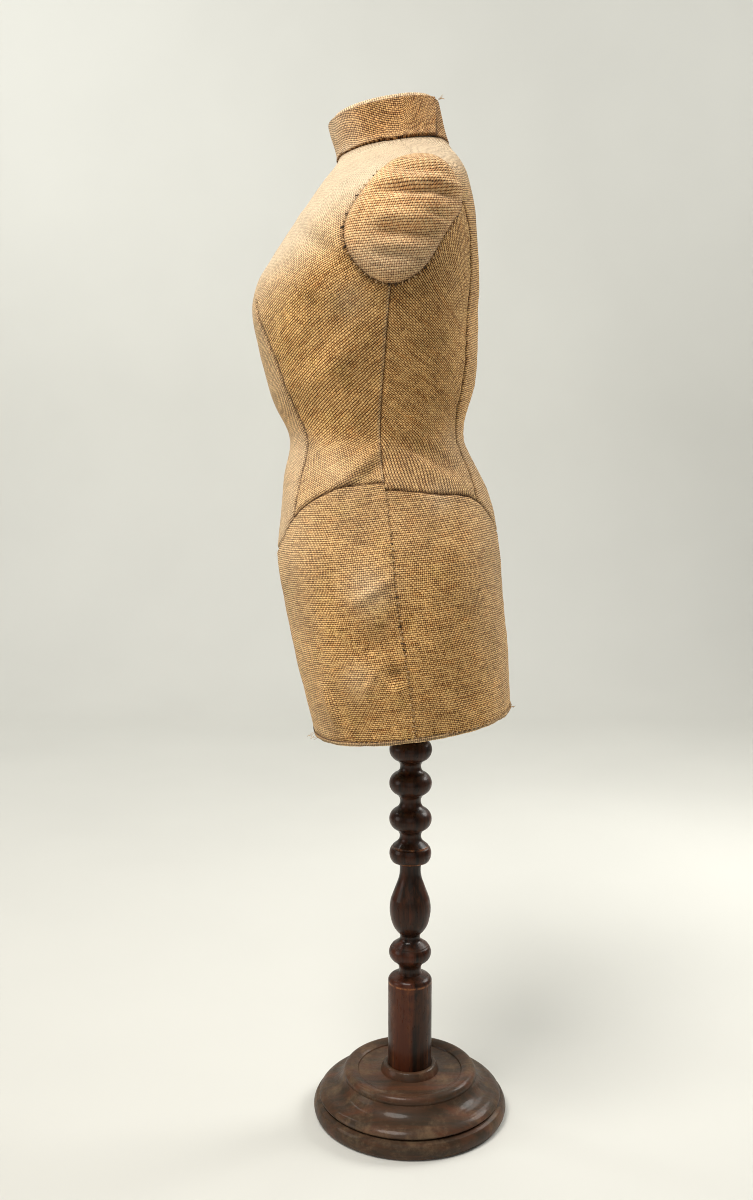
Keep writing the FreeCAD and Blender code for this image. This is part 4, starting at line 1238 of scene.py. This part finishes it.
def even_places(points, normals, pitch, closed=False):
    """Places a pitch apart along a line: the point, the way out and the way along."""
    if closed:
        points, normals = points + points[:1], normals + normals[:1]
    steps = [(after - before).length for before, after in zip(points, points[1:])]
    length = np.concatenate([[0], np.cumsum(steps)])
    places = []
    for at in np.arange(pitch / 2, length[-1], pitch):
        k = int(np.searchsorted(length, at)) - 1
        share = (at - length[k]) / max(length[k + 1] - length[k], 1e-9)
        way = points[min(k + 4, len(points) - 1)] - points[max(k - 3, 0)]
        places.append((points[k].lerp(points[k + 1], share), normals[k], way.normalized()))
    return places


def stitch(points, faces, place, length, slant, radius, shift=0.0):
    """One stitch over a line, at an angle to it, that dips into the cloth at both ends."""
    point, out, along = place
    across = out.cross(along).normalized()
    way = along * math.cos(slant) + across * math.sin(slant)
    point = point + across * shift
    path = []
    for share in (-0.5, -0.36, 0.0, 0.36, 0.5):
        height = 0.75 * MM * (1 - (share / 0.5) ** 4) - 0.45 * MM
        path.append(point + way * length * share + out * height)
    tube(points, faces, path, radius)


HEM_ROW = 2
HEM_WHIPPED_FROM = 0.026
PALE_THREADS = 0.8
HEM_PITCH = 4.4 * MM
SIDE_PITCH = 4.6 * MM
CAP_PITCH = 4.8 * MM
# Radii of the threads.
FINE_THREAD = 0.5 * MM
THREAD = 0.55 * MM
# Where threads have come loose: place, way out, and how many.
FRAYS = (((0.030, -0.0835, 0.3515), (0.1, -0.9, -0.3), 5), ((0.038, 0.0815, 0.3765), (0.2, 0.8, 0.5), 5),
         ((0.020, 0.0205, 0.8700), (0.2, 0.8, 0.6), 4), ((0.055, -0.0765, 0.3545), (0.4, -0.5, -0.6), 3),
         ((0.086, 0.049, 0.3700), (0.7, 0.4, -0.5), 3))


def sewing_line(cut, numbers, side, height=None):
    """Every second point of a seam on one side of the form: upwards, or round the seam's middle."""
    line = [number for number in numbers if cut.points[number].x * side > 0]
    if height is not None:
        line = [number for number in line if cut.points[number].z < height]
        return sorted(line, key=lambda number: cut.points[number].z)[::2]
    middle = sum((cut.points[number] for number in line), Vector()) / len(line)
    gaps = {number: cut.points[number] - middle for number in line}
    return sorted(line, key=lambda number: math.atan2(gaps[number].z, gaps[number].y))[::2]


def add_stitches(grid, cut, relief, materials):
    """Hand stitches: along the hem, over the side seams and round the arm caps, and a few frayed loose threads.
    """
    draw = random.Random(7)
    made = {}

    def finish(name, shapes, material="thread"):
        made[name] = new_object(name, *shapes, materials[material], "burlap_band")

    def drawn(least, most):
        return draw.uniform(least, most) * MM

    normals = [Vector(n) for n in grid.normals[HEM_ROW]]
    hem = [Vector(p) + n * float(relief.lift[grid.number(HEM_ROW, i)])
           for i, (p, n) in enumerate(zip(grid.points[HEM_ROW], normals))]
    pale, dark = ([], []), ([], [])
    for place in even_places(hem, normals, HEM_PITCH, True):
        if place[0].y > HEM_WHIPPED_FROM:
            stitch(*pale, place, drawn(4.5, 6.5), draw.uniform(0.8, 1.2), FINE_THREAD, 0.4 * MM)
        else:
            stitch(*dark, place, drawn(2.0, 3.0), draw.uniform(-0.3, 0.3), FINE_THREAD)
    finish("hem_whip_stitches", pale)
    finish("hem_running_stitches", dark, "dark_thread")
    pale, dark = ([], []), ([], [])
    for side in (-1, 1):
        line = sewing_line(cut, relief.side_line, side, YOKE_SEAM)
        places = even_places([relief.points[n] for n in line], [cut.normals[n] for n in line], SIDE_PITCH)
        for place in places:
            shapes = pale if draw.random() < PALE_THREADS else dark
            stitch(*shapes, place, drawn(2.5, 5.0), draw.uniform(0.6, 1.8), THREAD, drawn(-0.6, 1.2))
    finish("side_seam_stitches", pale)
    pale = ([], [])
    for name in CAPS:
        line = sewing_line(cut, relief.arm_line, 1 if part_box(name)[1][0] > 0.05 else -1)
        places = even_places([cut.points[n] for n in line], [cut.normals[n] for n in line], CAP_PITCH, True)
        for point, out, along in places:
            shapes = pale if draw.random() < PALE_THREADS else dark
            stitch(*shapes, (point + out * 1.6 * MM, out, along), drawn(2.6, 4.8), draw.uniform(0.9, 2.2),
                   THREAD, drawn(-1.2, 0.2))
    finish("arm_cap_stitches", pale)
    finish("dark_stitches", dark, "dark_thread")
    loose = ([], [])
    for start, way, count in FRAYS:
        for _ in range(count):
            place = Vector(start) + Vector(drawn(-1.5, 1.5) for _ in range(3))
            aim = (Vector(way) + Vector(draw.uniform(-0.7, 0.7) for _ in range(3))).normalized()
            path = [place]
            for _ in range(5):
                aim = (aim + Vector(draw.uniform(-0.45, 0.45) for _ in range(3))).normalized()
                path.append(path[-1] + aim * draw.uniform(0.6, 1.3) * MM)
            tube(*loose, path, 0.2 * MM, 5)
    finish("frayed_ends", loose)
    return made


def dress_cad_nodes(materials):
    """Give every CAD node its material. Most of those inside are never seen."""
    for node in NODES.values():
        slot = node.material_slots[0]
        kind = slot.material.name.split(".")[0]
        slot.link = "OBJECT"
        slot.material = materials[kind]


def add_floor():
    """A pale floor that curves up into a backdrop behind the object."""
    s = Shader("floor_paper")
    place = s.place()
    colour = s.shaded((0.70, 0.70, 0.66), s.span(s.noise(place, 3.5, 2), 0.3, 0.7, 0.985, 1.015, "LINEAR"))
    s.finish(colour, 0.9, s.bump(s.noise(place, 900, 2), 0.05 * MM, 0.3))
    wide, near, far, bend = 14.0, 8.0, -1.6, 0.7
    profile = [(near, 0.0), (far, 0.0)]
    for step in range(1, 17):
        turn = math.pi / 2 * step / 16
        profile.append((far - bend * math.sin(turn), bend * (1 - math.cos(turn))))
    profile.append((far - bend, 7.0))
    points = [(x, y, z) for x, z in profile for y in (-wide, wide)]
    faces = [[low, low + 1, low + 3, low + 2] for low in range(0, len(points) - 2, 2)]
    mesh = bpy.data.meshes.new("floor")
    mesh.from_pydata(points, [], faces)
    mesh.polygons.foreach_set("use_smooth", [True] * len(mesh.polygons))
    mesh.materials.append(s.material)
    floor = bpy.data.objects.new("floor", mesh)
    bpy.context.collection.objects.link(floor)


add_camera()
add_lights()
add_floor()
MATERIALS = make_materials()
dress_cad_nodes(MATERIALS)
GRID = Grid()
CUT = Cut(GRID)
RELIEF = Relief(CUT)
HEM = add_hem(GRID, MATERIALS)
STITCHES = add_stitches(GRID, CUT, RELIEF, MATERIALS)
CAP_STITCHES = [STITCHES.pop("arm_cap_stitches"), STITCHES.pop("dark_stitches")]
add_panels(CUT, RELIEF, MATERIALS)
add_caps(CUT, RELIEF, MATERIALS)
add_neck_band(GRID, MATERIALS)
add_neck_cap(GRID, MATERIALS)
add_bottom_cover(GRID, MATERIALS)
add_arm_pads(MATERIALS)
